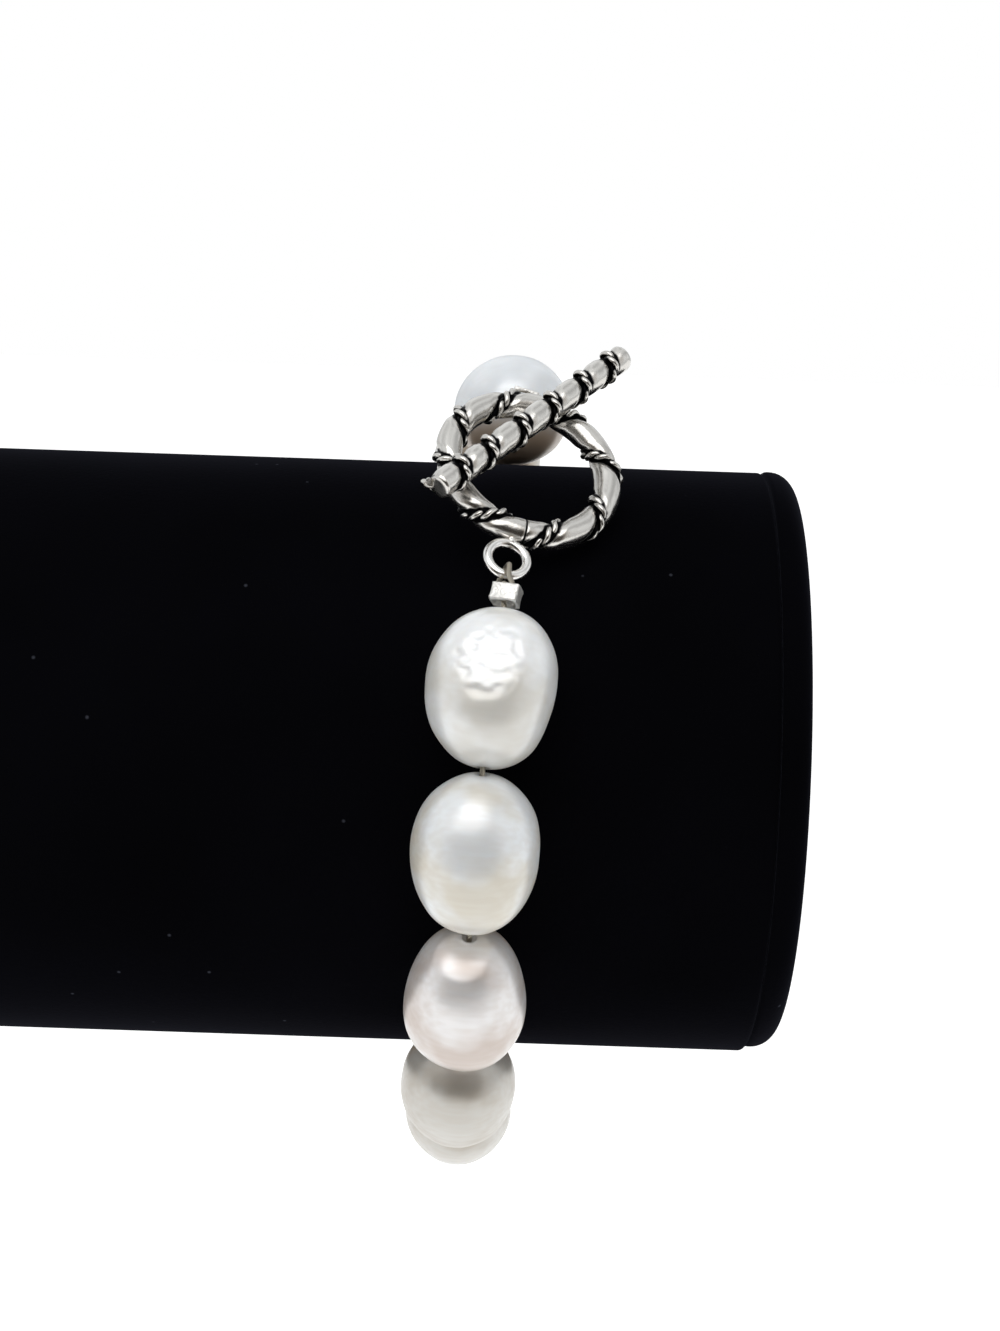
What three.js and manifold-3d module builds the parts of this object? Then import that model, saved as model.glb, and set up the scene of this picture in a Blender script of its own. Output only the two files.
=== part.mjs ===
// Pearl bracelet on a velvet display roll, in millimetres, +Z up.
// X runs along the roll and the bracelet's front faces -Y. The origin is the
// centre of the roll's left end face, where the stand's arm holds it.
// Angles round the roll are in degrees from its top towards the front.

import * as THREE from 'three';
import { mergeVertices } from 'three/addons/utils/BufferGeometryUtils.js';
import Module from 'manifold-3d';

const wasm = await Module();
wasm.setup();

// Fits
const CLEARANCE = 0.3;

// Display roll: a padded bar wrapped in velvet, with a velvet cap over each end
const ROLL_DIAMETER = 52;
const ROLL_LENGTH = 110;
const CAP_BAND = 2.6;
const CAP_WALL = 1.0;
const CAP_PROUD = 0.1;
const CAP_EDGE_RADIUS = 2.0;

// Where the bracelet sits on the roll, from the roll's right end
const LOOP_INSET = 26.4;
const LOOP_LEAN = 1.55;
const LOOP_LEAN_PHASE = 10;
const HANG_SLACK = 0.6;

// Pearls
const PEARL_DIAMETER = 10.4;
const PEARL_LENGTH = 12.6;
const PEARL_GAP = 0.34;
const FIRST_PEARL_EDGE = 59;
const LAST_PEARL_EDGE = -1;
const CLASP_PULL = 0.7;
const BACK_PULLS = [-3.0, -1.3, 0.8];
const LAST_PEARL_DROP = 0.35;

// Stringing wire and its two square crimps
const WIRE_DIAMETER = 0.45;
const DRILL_PLAY = 0.33;
const CRIMP_WIDTH = 2.3;
const CRIMP_DEPTH = 1.75;
const CRIMP_HEIGHT = 1.5;
const CRIMP_SEAT = 0.2;
const CRIMP_TURN = -15;
const CRIMP_TILT = -8;
const CRIMP_PULL = 0.25;
const LEG_SPACING = 0.62;
const LEG_GAP = 0.8;
const FRONT_LEG_SPREAD = -0.15;
const FRONT_LEG_SIDE = -0.15;
const BACK_LEG_SPREAD = 0.05;
const BACK_LEG_SIDE = 0.4;

// Toggle clasp, both parts of silver wire wound with a thin rope. The ring's
// centre is given from the roll, and the ring's plane leans back and to one side
const CLASP_WIRE = 2.0;
const ROPE_DIAMETER = 0.86;
const ROPE_SINK = 0.46;
const RING_DIAMETER = 13.7;
const RING_ANGLE = 29.3;
const RING_LIFT = 4.45;
const RING_SIDE = 2.83;
const RING_LEAN = 46.3;
const RING_SKEW = 15.3;
const RING_WRAP_ANGLES = [-74, -30, 17, 63, 110, 153, 197, 244];
const EYE_DIAMETER = 3.25;
const EYE_WIRE = 0.85;
const EYE_NECK = 0.1;
const EYE_PLACE = -99;
const BAR_LENGTH = 24.3;
const BAR_OFF_CENTRE = 2.15;
const BAR_PAST_RING = 3.9;
const BAR_TURN = 49.9;
const BAR_PLAY = 0.34;
const BAR_WRAP_PLACES = [0.116, 0.257, 0.427, 0.588, 0.753, 0.905];
const BAR_WRAP_SET = 0.5;
const BAR_EYE_LEAN = -17;
const BAR_DOME = 0.75;
const BAR_WEAR = 0.25;
const BAR_ROPE_START = -0.75;
const BAR_ROPE_OVERRUN = 0.4;

// Fineness of the meshes
const ROLL_SIDES = 40;
const PEARL_SIDES = 12;
const PEARL_RINGS = 10;
const WIRE_SIDES = 6;
const ROPE_SIDES = 5;
const ROPE_STEPS_PER_WRAP = 11;
const CLASP_SIDES = 12;
const RING_STEPS = 40;
const EYE_STEPS = 18;
const HOOK_STEPS = 6;

// Pearl shapes along the string, the hidden ones too. across, deep and long are
// shares of the pearl's sizes, egg moves the fattest place towards the pearl's
// start, blunt squares its ends, and dent flattens one side at dentAt degrees
const PEARLS = [
  { across: 1.040, deep: 0.99, long: 1.012, egg: 0.05, blunt: 2.05, dent: 0.10, dentAt: 0 },
  { across: 0.990, deep: 0.98, long: 1.022, egg: 0.04, blunt: 2.08, dent: 0.04, dentAt: 20 },
  { across: 0.950, deep: 0.97, long: 1.016, egg: -0.10, blunt: 2.12, dent: 0.02, dentAt: 200 },
  { across: 0.930, deep: 0.95, long: 1.008, egg: 0.05, blunt: 2.20, dent: 0.04, dentAt: 320 },
  { across: 0.910, deep: 0.94, long: 1.000, egg: -0.06, blunt: 2.30, dent: 0.03, dentAt: 160 },
  { across: 0.950, deep: 0.93, long: 0.984, egg: 0.10, blunt: 2.15, dent: 0.05, dentAt: 250 },
  { across: 0.930, deep: 0.96, long: 0.976, egg: -0.08, blunt: 2.25, dent: 0.03, dentAt: 90 },
  { across: 0.970, deep: 0.95, long: 0.984, egg: 0.06, blunt: 2.20, dent: 0.04, dentAt: 180 },
  { across: 0.950, deep: 0.98, long: 0.980, egg: -0.12, blunt: 2.30, dent: 0.03, dentAt: 300 },
  { across: 0.980, deep: 0.96, long: 0.984, egg: 0.09, blunt: 2.15, dent: 0.05, dentAt: 60 },
  { across: 0.960, deep: 0.97, long: 0.980, egg: -0.04, blunt: 2.25, dent: 0.03, dentAt: 140 },
  { across: 0.990, deep: 0.94, long: 0.980, egg: 0.10, blunt: 2.15, dent: 0.04, dentAt: 20 },
  { across: 1.000, deep: 0.95, long: 0.980, egg: -0.06, blunt: 2.15, dent: 0.02, dentAt: 270 },
];

const radians = THREE.MathUtils.degToRad;
const vec = (x, y, z) => new THREE.Vector3(x, y, z);

// Geometry helpers

function closedGeometry(points, triangles) {
  const geometry = new THREE.BufferGeometry();
  geometry.setAttribute('position', new THREE.Float32BufferAttribute(points.flatMap((p) => p.toArray()), 3));
  geometry.setIndex(triangles);
  return geometry;
}

// Stitches rings of equal point counts into quads. Rings turn anticlockwise
// when seen from ahead of the first one, so the faces point outwards
function ringBands(ringCount, sides, wrap) {
  const triangles = [];
  const bands = wrap ? ringCount : ringCount - 1;
  for (let band = 0; band < bands; band += 1) {
    const here = band * sides;
    const next = ((band + 1) % ringCount) * sides;
    for (let side = 0; side < sides; side += 1) {
      const after = (side + 1) % sides;
      triangles.push(here + side, here + after, next + after);
      triangles.push(here + side, next + after, next + side);
    }
  }
  return triangles;
}

// A round bar of constant thickness along a list of points
function sweep(path, diameter, sides, closed = false) {
  const count = path.length;
  const tangents = path.map((_, i) => {
    const before = closed ? path[(i + count - 1) % count] : path[Math.max(i - 1, 0)];
    const after = closed ? path[(i + 1) % count] : path[Math.min(i + 1, count - 1)];
    return after.clone().sub(before).normalize();
  });
  const start = Math.abs(tangents[0].z) < 0.8 ? vec(0, 0, 1) : vec(1, 0, 0);
  const normals = [start.cross(tangents[0]).normalize()];
  for (let i = 1; i < count; i += 1) {
    const turn = new THREE.Quaternion().setFromUnitVectors(tangents[i - 1], tangents[i]);
    normals.push(normals[i - 1].clone().applyQuaternion(turn));
  }
  let twist = 0;
  if (closed) {
    const turn = new THREE.Quaternion().setFromUnitVectors(tangents[count - 1], tangents[0]);
    const arrived = normals[count - 1].clone().applyQuaternion(turn);
    twist = Math.atan2(arrived.clone().cross(normals[0]).dot(tangents[0]), arrived.dot(normals[0]));
  }
  const points = [];
  path.forEach((centre, i) => {
    const side = normals[i];
    const up = tangents[i].clone().cross(side);
    for (let k = 0; k < sides; k += 1) {
      const angle = (2 * Math.PI * k) / sides + (twist * i) / count;
      points.push(centre.clone()
        .addScaledVector(side, (Math.cos(angle) * diameter) / 2)
        .addScaledVector(up, (Math.sin(angle) * diameter) / 2));
    }
  });
  const triangles = ringBands(count, sides, closed);
  if (!closed) {
    for (let k = 1; k < sides - 1; k += 1) {
      triangles.push(0, k + 1, k);
      const last = (count - 1) * sides;
      triangles.push(last, last + k, last + k + 1);
    }
  }
  return closedGeometry(points, triangles);
}

// A turned shape whose axis runs along +X from the profile's [radius, x] points
function turned(profile, sides) {
  const lathe = new THREE.LatheGeometry(profile.map(([radius, x]) => new THREE.Vector2(radius, x)), sides);
  lathe.rotateZ(-Math.PI / 2);
  return lathe;
}

function toSolid(geometry) {
  const bare = geometry.clone();
  bare.deleteAttribute('normal');
  bare.deleteAttribute('uv');
  const merged = mergeVertices(bare, 1e-5);
  return new wasm.Manifold(new wasm.Mesh({
    numProp: 3,
    vertProperties: new Float32Array(merged.attributes.position.array),
    triVerts: new Uint32Array(merged.index.array),
  }));
}

function fromSolid(solid) {
  const mesh = solid.getMesh();
  const geometry = new THREE.BufferGeometry();
  geometry.setAttribute('position', new THREE.BufferAttribute(new Float32Array(mesh.vertProperties), 3));
  geometry.setIndex(Array.from(mesh.triVerts));
  return geometry;
}

function joined(geometries) {
  return fromSolid(geometries.map(toSolid).reduce((sum, solid) => sum.add(solid)));
}

// Materials

const velvet = new THREE.MeshStandardMaterial({ color: 0x0c0c12, roughness: 0.95 });
const nacre = new THREE.MeshStandardMaterial({ color: 0xe6e2dc, roughness: 0.22 });
const cable = new THREE.MeshStandardMaterial({ color: 0x9a958a, roughness: 0.35, metalness: 1 });
const mattSilver = new THREE.MeshStandardMaterial({ color: 0xb9b7b4, roughness: 0.5, metalness: 1 });
const darkSilver = new THREE.MeshStandardMaterial({ color: 0xc4c2bf, roughness: 0.28, metalness: 1 });

const bracelet = new THREE.Group();

function addPiece(name, geometry, material, parent = bracelet) {
  const mesh = new THREE.Mesh(geometry, material);
  mesh.name = name;
  parent.add(mesh);
  return mesh;
}

// Roll and its end caps

const rollRadius = ROLL_DIAMETER / 2;
const capRadius = rollRadius + CAP_PROUD;
const capInnerRadius = capRadius - CAP_WALL;
const neckRadius = capInnerRadius - CLEARANCE;
const neckLength = CAP_BAND - CAP_WALL;
const innerEdge = CAP_EDGE_RADIUS - CAP_WALL;

// The roll's ends are necked down by the cap's wall and chamfered inside its edge
function rollBody() {
  const from = CAP_WALL + CLEARANCE;
  const to = ROLL_LENGTH - from;
  return turned([
    [0, from], [neckRadius - innerEdge, from], [neckRadius, from + innerEdge],
    [neckRadius, from + neckLength], [rollRadius, from + neckLength],
    [rollRadius, to - neckLength], [neckRadius, to - neckLength],
    [neckRadius, to - innerEdge], [neckRadius - innerEdge, to], [0, to],
  ], ROLL_SIDES);
}

// The cap's profile, from the middle of its outer face over the rounded edge
// to the band's rim and back along the inside
function rollCap() {
  const edgeSteps = 3;
  const profile = [[0, 0]];
  for (let step = 0; step <= edgeSteps; step += 1) {
    const angle = (Math.PI / 2) * (step / edgeSteps);
    profile.push([
      capRadius - CAP_EDGE_RADIUS * (1 - Math.sin(angle)),
      CAP_EDGE_RADIUS * (1 - Math.cos(angle)),
    ]);
  }
  profile.push(
    [capRadius, CAP_BAND], [capInnerRadius, CAP_BAND], [capInnerRadius, CAP_WALL + innerEdge],
    [capInnerRadius - innerEdge, CAP_WALL], [0, CAP_WALL],
  );
  return turned(profile, ROLL_SIDES);
}

addPiece('roll_body', rollBody(), velvet);
addPiece('roll_cap_left', rollCap(), velvet);
const rightCap = addPiece('roll_cap_right', rollCap(), velvet);
rightCap.rotation.z = Math.PI;
rightCap.position.x = ROLL_LENGTH;

// The strand round the roll: corners of its path lie between the pearls

const loopX = ROLL_LENGTH - LOOP_INSET;
const strandAngle = 360 - FIRST_PEARL_EDGE + LAST_PEARL_EDGE;

const pearlPitches = PEARLS.map((row) => row.long * PEARL_LENGTH + PEARL_GAP);
const pitchSum = pearlPitches.reduce((sum, pitch) => sum + pitch, 0);
const meanPitch = pitchSum / PEARLS.length;
const halfPearlAngle = radians(strandAngle / PEARLS.length / 2);

// The loop lies on the roll. Pearls that need more room than the roll gives
// make the loop wider, and it then hangs lower from the roll's top
const snugRadius = rollRadius + CLEARANCE + PEARL_DIAMETER / 2;
const loopRadius = Math.max(snugRadius, meanPitch / (2 * Math.tan(halfPearlAngle)));
const loopDrop = loopRadius - snugRadius;

function strandPoint(angle) {
  const underside = (1 - Math.cos(radians(angle))) / 2;
  const radius = (loopRadius + HANG_SLACK * underside ** 2) / Math.cos(halfPearlAngle);
  return vec(
    loopX + LOOP_LEAN * Math.cos(radians(angle + LOOP_LEAN_PHASE)),
    -radius * Math.sin(radians(angle)),
    radius * Math.cos(radians(angle)) - loopDrop,
  );
}

let cornerAngle = FIRST_PEARL_EDGE;
const corners = [strandPoint(cornerAngle)];
for (const pitch of pearlPitches) {
  cornerAngle += (strandAngle * pitch) / pitchSum;
  corners.push(strandPoint(cornerAngle));
}

// The clasp pulls the strand's first end to one side. Behind the roll the last
// pearls swing to the left and back to the clasp, and the last one lies low
corners[0].x += CLASP_PULL;
BACK_PULLS.forEach((pull, i) => {
  corners[corners.length - BACK_PULLS.length + i].x += pull;
});
corners.slice(-2).forEach((corner) => {
  corner.z -= LAST_PEARL_DROP;
});

// Pearls

const drillDiameter = WIRE_DIAMETER + 2 * DRILL_PLAY;

// A drilled baroque pearl about the origin, its drill hole along Z, its start
// at -Z and its outer side, away from the roll, at +Y
function pearlGeometry(row) {
  const across = row.across * PEARL_DIAMETER;
  const deep = row.deep * PEARL_DIAMETER;
  const long = row.long * PEARL_LENGTH;
  const rimAngle = (drillDiameter / across) ** (row.blunt / 2);
  const points = [];
  const rings = [];
  for (let ring = 0; ring < PEARL_RINGS; ring += 1) {
    const polar = rimAngle + (Math.PI - 2 * rimAngle) * (ring / (PEARL_RINGS - 1));
    const along = -Math.sign(Math.cos(polar)) * Math.abs(Math.cos(polar)) ** (2 / row.blunt);
    const girth = Math.sin(polar) ** (2 / row.blunt) * (1 - row.egg * along * Math.sin(polar) ** 2);
    const atRim = ring === 0 || ring === PEARL_RINGS - 1;
    rings.push({ along, girth, atRim, belly: Math.sin(polar) ** 2 });
  }
  for (const { along, girth, atRim, belly } of rings) {
    for (let side = 0; side < PEARL_SIDES; side += 1) {
      const angle = (2 * Math.PI * side) / PEARL_SIDES;
      const facing = Math.max(0, Math.cos(angle - radians(row.dentAt)));
      const flat = 1 - row.dent * facing ** 3 * belly;
      const radiusX = atRim ? drillDiameter / 2 : (girth * across * flat) / 2;
      const radiusY = atRim ? drillDiameter / 2 : (girth * deep * flat) / 2;
      points.push(vec(radiusX * Math.cos(angle), radiusY * Math.sin(angle), (along * long) / 2));
    }
  }
  return closedGeometry(points, ringBands(PEARL_RINGS, PEARL_SIDES, true));
}

// Turns a piece made along Z so that it runs from one point to another, with
// its +Y side away from the roll's axis
function placeAlong(mesh, from, to) {
  const forward = to.clone().sub(from).normalize();
  const middle = from.clone().add(to).multiplyScalar(0.5);
  const outward = vec(0, middle.y, middle.z);
  const sideways = outward.clone().cross(forward).normalize();
  const out = forward.clone().cross(sideways);
  mesh.setRotationFromMatrix(new THREE.Matrix4().makeBasis(sideways, out, forward));
  mesh.position.copy(middle);
}

PEARLS.forEach((row, i) => {
  const pearl = addPiece(`pearl_${String(i + 1).padStart(2, '0')}`, pearlGeometry(row), nacre);
  placeAlong(pearl, corners[i], corners[i + 1]);
});

// The toggle ring's own frame: its centre at the origin, its outer face to +Z

const ringCentreRadius = rollRadius + RING_LIFT;
const ringFrame = new THREE.Matrix4()
  .makeTranslation(
    loopX + RING_SIDE,
    -ringCentreRadius * Math.sin(radians(RING_ANGLE)),
    ringCentreRadius * Math.cos(radians(RING_ANGLE)),
  )
  .multiply(new THREE.Matrix4().makeRotationX(radians(RING_LEAN)))
  .multiply(new THREE.Matrix4().makeRotationY(radians(RING_SKEW)));

const ringRadius = RING_DIAMETER / 2;
const eyeRadius = EYE_DIAMETER / 2;
const wireRadius = CLASP_WIRE / 2;
const ropeRadius = wireRadius + ROPE_DIAMETER / 2 - ROPE_SINK;
const ropeProud = ROPE_DIAMETER - ROPE_SINK;
const eyeReach = wireRadius + EYE_NECK + EYE_WIRE / 2 + eyeRadius;

// A closed ring of round wire, flat in its own XY plane
function wireRing(radius, wire, steps, sides) {
  return new THREE.TorusGeometry(radius, wire / 2, sides, steps);
}

// A value from a table of places, read smoothly between its rows
function smoothRow(table, place) {
  const row = Math.floor(place);
  const part = place - row;
  const [before, here, next, after] = [row - 1, row, row + 1, row + 2].map(table);
  const slopeHere = (next - before) / 2;
  const slopeNext = (after - here) / 2;
  return here + slopeHere * part
    + (3 * (next - here) - 2 * slopeHere - slopeNext) * part ** 2
    + (2 * (here - next) + slopeHere + slopeNext) * part ** 3;
}

// The rope's path round the ring: a left-handed coil, at the front at each wrap angle
function ringRopePath() {
  const wraps = RING_WRAP_ANGLES.length;
  const wrapAngle = (i) => RING_WRAP_ANGLES[((i % wraps) + wraps) % wraps] + 360 * Math.floor(i / wraps);
  const path = [];
  for (let step = 0; step < wraps * ROPE_STEPS_PER_WRAP; step += 1) {
    const turns = step / ROPE_STEPS_PER_WRAP;
    const round = radians(smoothRow(wrapAngle, turns));
    const coil = 2 * Math.PI * turns + Math.PI / 2;
    const reach = ringRadius + ropeRadius * Math.cos(coil);
    path.push(vec(reach * Math.cos(round), reach * Math.sin(round), ropeRadius * Math.sin(coil)));
  }
  return path;
}

// A small eye of plain wire on a stub of solder, flat in the XY plane. The
// stub's foot is at the origin, in the wire that carries it, and the eye is at -Y
function eyeOnStub() {
  const eye = wireRing(eyeRadius, EYE_WIRE, EYE_STEPS, WIRE_SIDES);
  eye.translate(0, -eyeReach, 0);
  const stub = sweep([vec(0, 0, 0), vec(0, eyeRadius - eyeReach, 0)], EYE_WIRE, WIRE_SIDES);
  return fromSolid(toSolid(eye).add(toSolid(stub)));
}

function toggleRing() {
  const eye = eyeOnStub();
  eye.translate(0, -ringRadius, 0);
  eye.rotateZ(radians(EYE_PLACE + 90));
  return joined([
    wireRing(ringRadius, CLASP_WIRE, RING_STEPS, CLASP_SIDES),
    sweep(ringRopePath(), ROPE_DIAMETER, ROPE_SIDES, true),
    eye,
  ]);
}

const ring = addPiece('toggle_ring', toggleRing(), darkSilver);
ring.applyMatrix4(ringFrame);

// The bar lies across the ring's outer face. In its own frame it runs along +X
// from its cut end, and its eye points to -Z. Its rope steps on mostly behind it

function barRopePath() {
  const wraps = BAR_WRAP_PLACES.length;
  const pitch = (BAR_WRAP_PLACES[wraps - 1] - BAR_WRAP_PLACES[0]) / (wraps - 1);
  const place = (i) => {
    if (i < 0) return BAR_WRAP_PLACES[0] + i * pitch;
    return i < wraps ? BAR_WRAP_PLACES[i] : BAR_WRAP_PLACES[wraps - 1] + (i - wraps + 1) * pitch;
  };
  const ropeTurns = wraps - 1 + BAR_ROPE_OVERRUN - BAR_ROPE_START;
  const steps = Math.round(ropeTurns * ROPE_STEPS_PER_WRAP);
  const path = [];
  for (let step = 0; step <= steps; step += 1) {
    const turns = BAR_ROPE_START + (ropeTurns * step) / steps;
    const coil = 2 * Math.PI * turns + Math.PI / 2;
    const advance = turns - (BAR_WRAP_SET * Math.sin(2 * Math.PI * turns)) / (2 * Math.PI);
    path.push(vec(
      smoothRow(place, advance) * BAR_LENGTH,
      -ropeRadius * Math.cos(coil),
      ropeRadius * Math.sin(coil),
    ));
  }
  return path;
}

// Plain wire, cut square at the left with a worn edge, and rounded at the tip
function barBody() {
  const worn = wireRadius * BAR_WEAR;
  const dome = wireRadius * BAR_DOME;
  return turned([
    [0, 0], [wireRadius - worn, 0], [wireRadius, worn], [wireRadius, BAR_LENGTH - dome],
    [wireRadius * Math.SQRT1_2, BAR_LENGTH - dome * (1 - Math.SQRT1_2)], [0, BAR_LENGTH],
  ], CLASP_SIDES);
}

function toggleBar() {
  const eye = eyeOnStub();
  eye.rotateX(Math.PI / 2 - radians(BAR_EYE_LEAN));
  eye.translate(BAR_LENGTH / 2, 0, 0);
  return joined([barBody(), sweep(barRopePath(), ROPE_DIAMETER, ROPE_SIDES), eye]);
}

const barHeight = 2 * wireRadius + 2 * ropeProud + BAR_PLAY;
const barFoot = Math.sqrt(ringRadius ** 2 - BAR_OFF_CENTRE ** 2) + BAR_PAST_RING;
const barFrame = new THREE.Matrix4()
  .makeTranslation(0, 0, barHeight)
  .multiply(new THREE.Matrix4().makeRotationZ(radians(BAR_TURN)))
  .multiply(new THREE.Matrix4().makeTranslation(-barFoot, BAR_OFF_CENTRE, 0))
  .premultiply(ringFrame);
const bar = addPiece('toggle_bar', toggleBar(), darkSilver);
bar.applyMatrix4(barFrame);

// Crimps at both ends of the string

function crimpGeometry() {
  const halfWide = CRIMP_WIDTH / 2;
  const halfDeep = CRIMP_DEPTH / 2;
  const outline = new THREE.Shape([
    new THREE.Vector2(-halfWide, -halfDeep), new THREE.Vector2(halfWide, -halfDeep),
    new THREE.Vector2(halfWide, halfDeep), new THREE.Vector2(-halfWide, halfDeep),
  ]);
  const slotRadius = WIRE_DIAMETER / 2 + CLEARANCE;
  const slot = new THREE.Path();
  slot.absarc(LEG_SPACING / 2, 0, slotRadius, -Math.PI / 2, Math.PI / 2);
  slot.absarc(-LEG_SPACING / 2, 0, slotRadius, Math.PI / 2, (3 * Math.PI) / 2);
  outline.holes.push(slot);
  const block = new THREE.ExtrudeGeometry(outline, { depth: CRIMP_HEIGHT, bevelEnabled: false, curveSegments: 5 });
  block.translate(0, 0, -CRIMP_HEIGHT / 2);
  return block;
}

// A crimp sits on a pearl's end. Its slot, which holds both legs of the wire
// loop, is turned about the string, and it leans a little
function addCrimp(name, pearlEnd, away) {
  const crimp = addPiece(name, crimpGeometry(), mattSilver);
  const from = pearlEnd.clone().addScaledVector(away, CRIMP_SEAT);
  placeAlong(crimp, from, from.clone().addScaledVector(away, CRIMP_HEIGHT));
  crimp.rotateY(radians(CRIMP_TILT));
  crimp.rotateZ(radians(CRIMP_TURN));
  crimp.updateMatrixWorld();
  return crimp;
}

// The two eyes' far wires, which the wire loops hook round, and the way that
// each wire runs there
const eyeFarWire = eyeReach + eyeRadius;
const eyeTurn = radians(EYE_PLACE);
const frontHook = vec(Math.cos(eyeTurn), Math.sin(eyeTurn), 0)
  .multiplyScalar(ringRadius + eyeFarWire)
  .applyMatrix4(ringFrame);
const alongFrontEye = vec(-Math.sin(eyeTurn), Math.cos(eyeTurn), 0).transformDirection(ringFrame);
const barEyeTurn = Math.PI / 2 - radians(BAR_EYE_LEAN);
const barHook = vec(BAR_LENGTH / 2, -eyeFarWire * Math.cos(barEyeTurn), -eyeFarWire * Math.sin(barEyeTurn))
  .applyMatrix4(barFrame);
const alongBar = vec(-1, 0, 0).transformDirection(barFrame);

const lastCorner = corners[corners.length - 1];
const frontWay = corners[0].clone().sub(corners[1]).normalize();
const backWay = lastCorner.clone().sub(corners[corners.length - 2]).normalize();
const frontLean = frontWay.clone().lerp(frontHook.clone().sub(corners[0]).normalize(), CRIMP_PULL).normalize();
const backLean = backWay.clone().lerp(barHook.clone().sub(lastCorner).normalize(), CRIMP_PULL).normalize();
const frontCrimp = addCrimp('crimp_front', corners[0], frontLean);
const backCrimp = addCrimp('crimp_back', lastCorner, backLean);

// One end of the string: from the pearl through the crimp, past the waypoint,
// round the eye's wire, and back into the crimp, where the tail ends
function hookPath(crimp, hook, waypoint, eyeAlong, spread, side) {
  const inCrimp = (leg, height) => vec((leg * LEG_SPACING) / 2, 0, height).applyMatrix4(crimp.matrixWorld);
  const over = eyeAlong.clone().cross(waypoint.clone().sub(hook)).normalize();
  const pull = over.clone().cross(eyeAlong);
  const bend = EYE_WIRE / 2 + CLEARANCE + WIRE_DIAMETER / 2;
  const overCrimp = CRIMP_HEIGHT / 2 + LEG_SPACING / 2;
  const halfGap = over.clone().multiplyScalar(LEG_GAP / 2).addScaledVector(eyeAlong, side);
  const round = [];
  for (let step = 0; step <= HOOK_STEPS; step += 1) {
    const turn = Math.PI * (step / HOOK_STEPS);
    round.push(hook.clone()
      .addScaledVector(over, bend * Math.cos(turn))
      .addScaledVector(pull, -bend * Math.sin(turn))
      .addScaledVector(eyeAlong, spread * Math.cos(turn)));
  }
  return [
    inCrimp(0, -CRIMP_HEIGHT / 2), inCrimp(1, 0), inCrimp(1, overCrimp),
    waypoint.clone().add(halfGap), ...round, waypoint.clone().sub(halfGap),
    inCrimp(-1, overCrimp), inCrimp(-1, 0),
  ];
}

// The front loop runs straight to its eye. The back one dips under the ring
const frontTop = corners[0].clone().addScaledVector(frontLean, CRIMP_SEAT + CRIMP_HEIGHT);
const frontWaypoint = frontHook.clone().lerp(frontTop, 0.5);
const backCrimpInRing = lastCorner.clone().applyMatrix4(ringFrame.clone().invert());
const backWaypoint = vec(backCrimpInRing.x, backCrimpInRing.y, 0)
  .setLength(ringRadius)
  .setZ(-wireRadius - ropeProud - 3 * CLEARANCE - WIRE_DIAMETER)
  .applyMatrix4(ringFrame);

// Stringing wire: straight inside each pearl, with a short bend between two
const cornerCut = PEARL_GAP / meanPitch;
const beads = corners.slice(1, -1).flatMap((corner, i) => [
  corner.clone().lerp(corners[i], cornerCut / 2),
  corner.clone().lerp(corners[i + 2], cornerCut / 2),
]);
const wirePath = [
  ...hookPath(frontCrimp, frontHook, frontWaypoint, alongFrontEye, FRONT_LEG_SPREAD, FRONT_LEG_SIDE).reverse(),
  corners[0].clone().lerp(corners[1], cornerCut),
  ...beads,
  lastCorner.clone().lerp(corners[corners.length - 2], cornerCut),
  ...hookPath(backCrimp, barHook, backWaypoint, alongBar, BACK_LEG_SPREAD, BACK_LEG_SIDE),
];
addPiece('stringing_wire', sweep(wirePath, WIRE_DIAMETER, WIRE_SIDES), cable);

export default bracelet;
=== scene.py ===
# %% [markdown]
# # A pearl bracelet on a velvet display roll
#
# Thirteen baroque pearls hang on a beading wire that is closed with a toggle
# clasp of oxidised silver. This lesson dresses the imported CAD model: every
# piece is rebuilt finer in the place where the CAD has it, and each gets a
# material that says how the real surface was made.
#
# We start with the frame, because everything is placed from it. The size of the
# CAD model is kept, so that the finished scene can be measured against it. All
# our sizes are in millimetres, and MM turns them into Blender's metres.

import math

import bpy
import numpy as np
from mathutils import Matrix, Vector, noise


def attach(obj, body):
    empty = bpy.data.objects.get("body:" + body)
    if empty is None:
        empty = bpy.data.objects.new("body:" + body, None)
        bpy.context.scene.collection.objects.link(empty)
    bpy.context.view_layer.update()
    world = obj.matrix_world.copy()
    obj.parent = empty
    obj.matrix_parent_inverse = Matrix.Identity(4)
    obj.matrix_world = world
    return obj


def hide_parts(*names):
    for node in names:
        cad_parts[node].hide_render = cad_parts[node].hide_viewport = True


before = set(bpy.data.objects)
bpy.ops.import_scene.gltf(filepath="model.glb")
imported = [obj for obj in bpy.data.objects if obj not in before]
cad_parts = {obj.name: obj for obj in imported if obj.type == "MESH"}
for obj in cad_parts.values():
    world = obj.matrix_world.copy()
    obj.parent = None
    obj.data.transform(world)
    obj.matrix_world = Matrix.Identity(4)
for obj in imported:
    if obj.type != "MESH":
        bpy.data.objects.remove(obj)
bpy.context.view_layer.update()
scene = bpy.context.scene
MM = 0.001
print("CAD nodes:", len(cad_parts))

# %% [markdown]
# Colours are easy to compare with a real object as sRGB hex values, but shaders
# calculate with linear light. One function turns one into the other, and one
# small function adds a node, sets its sockets and properties, and links it. In a
# Mix node of colours, socket 0 is the share, and 6 and 7 are the two colours.

# %% Colours and nodes
def linear(text):
    """An sRGB hex colour as linear red, green, blue and alpha."""
    parts = [int(text[i:i + 2], 16) / 255 for i in (1, 3, 5)]
    return (*(c / 12.92 if c <= 0.04045 else ((c + 0.055) / 1.055) ** 2.4 for c in parts), 1.0)


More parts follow.
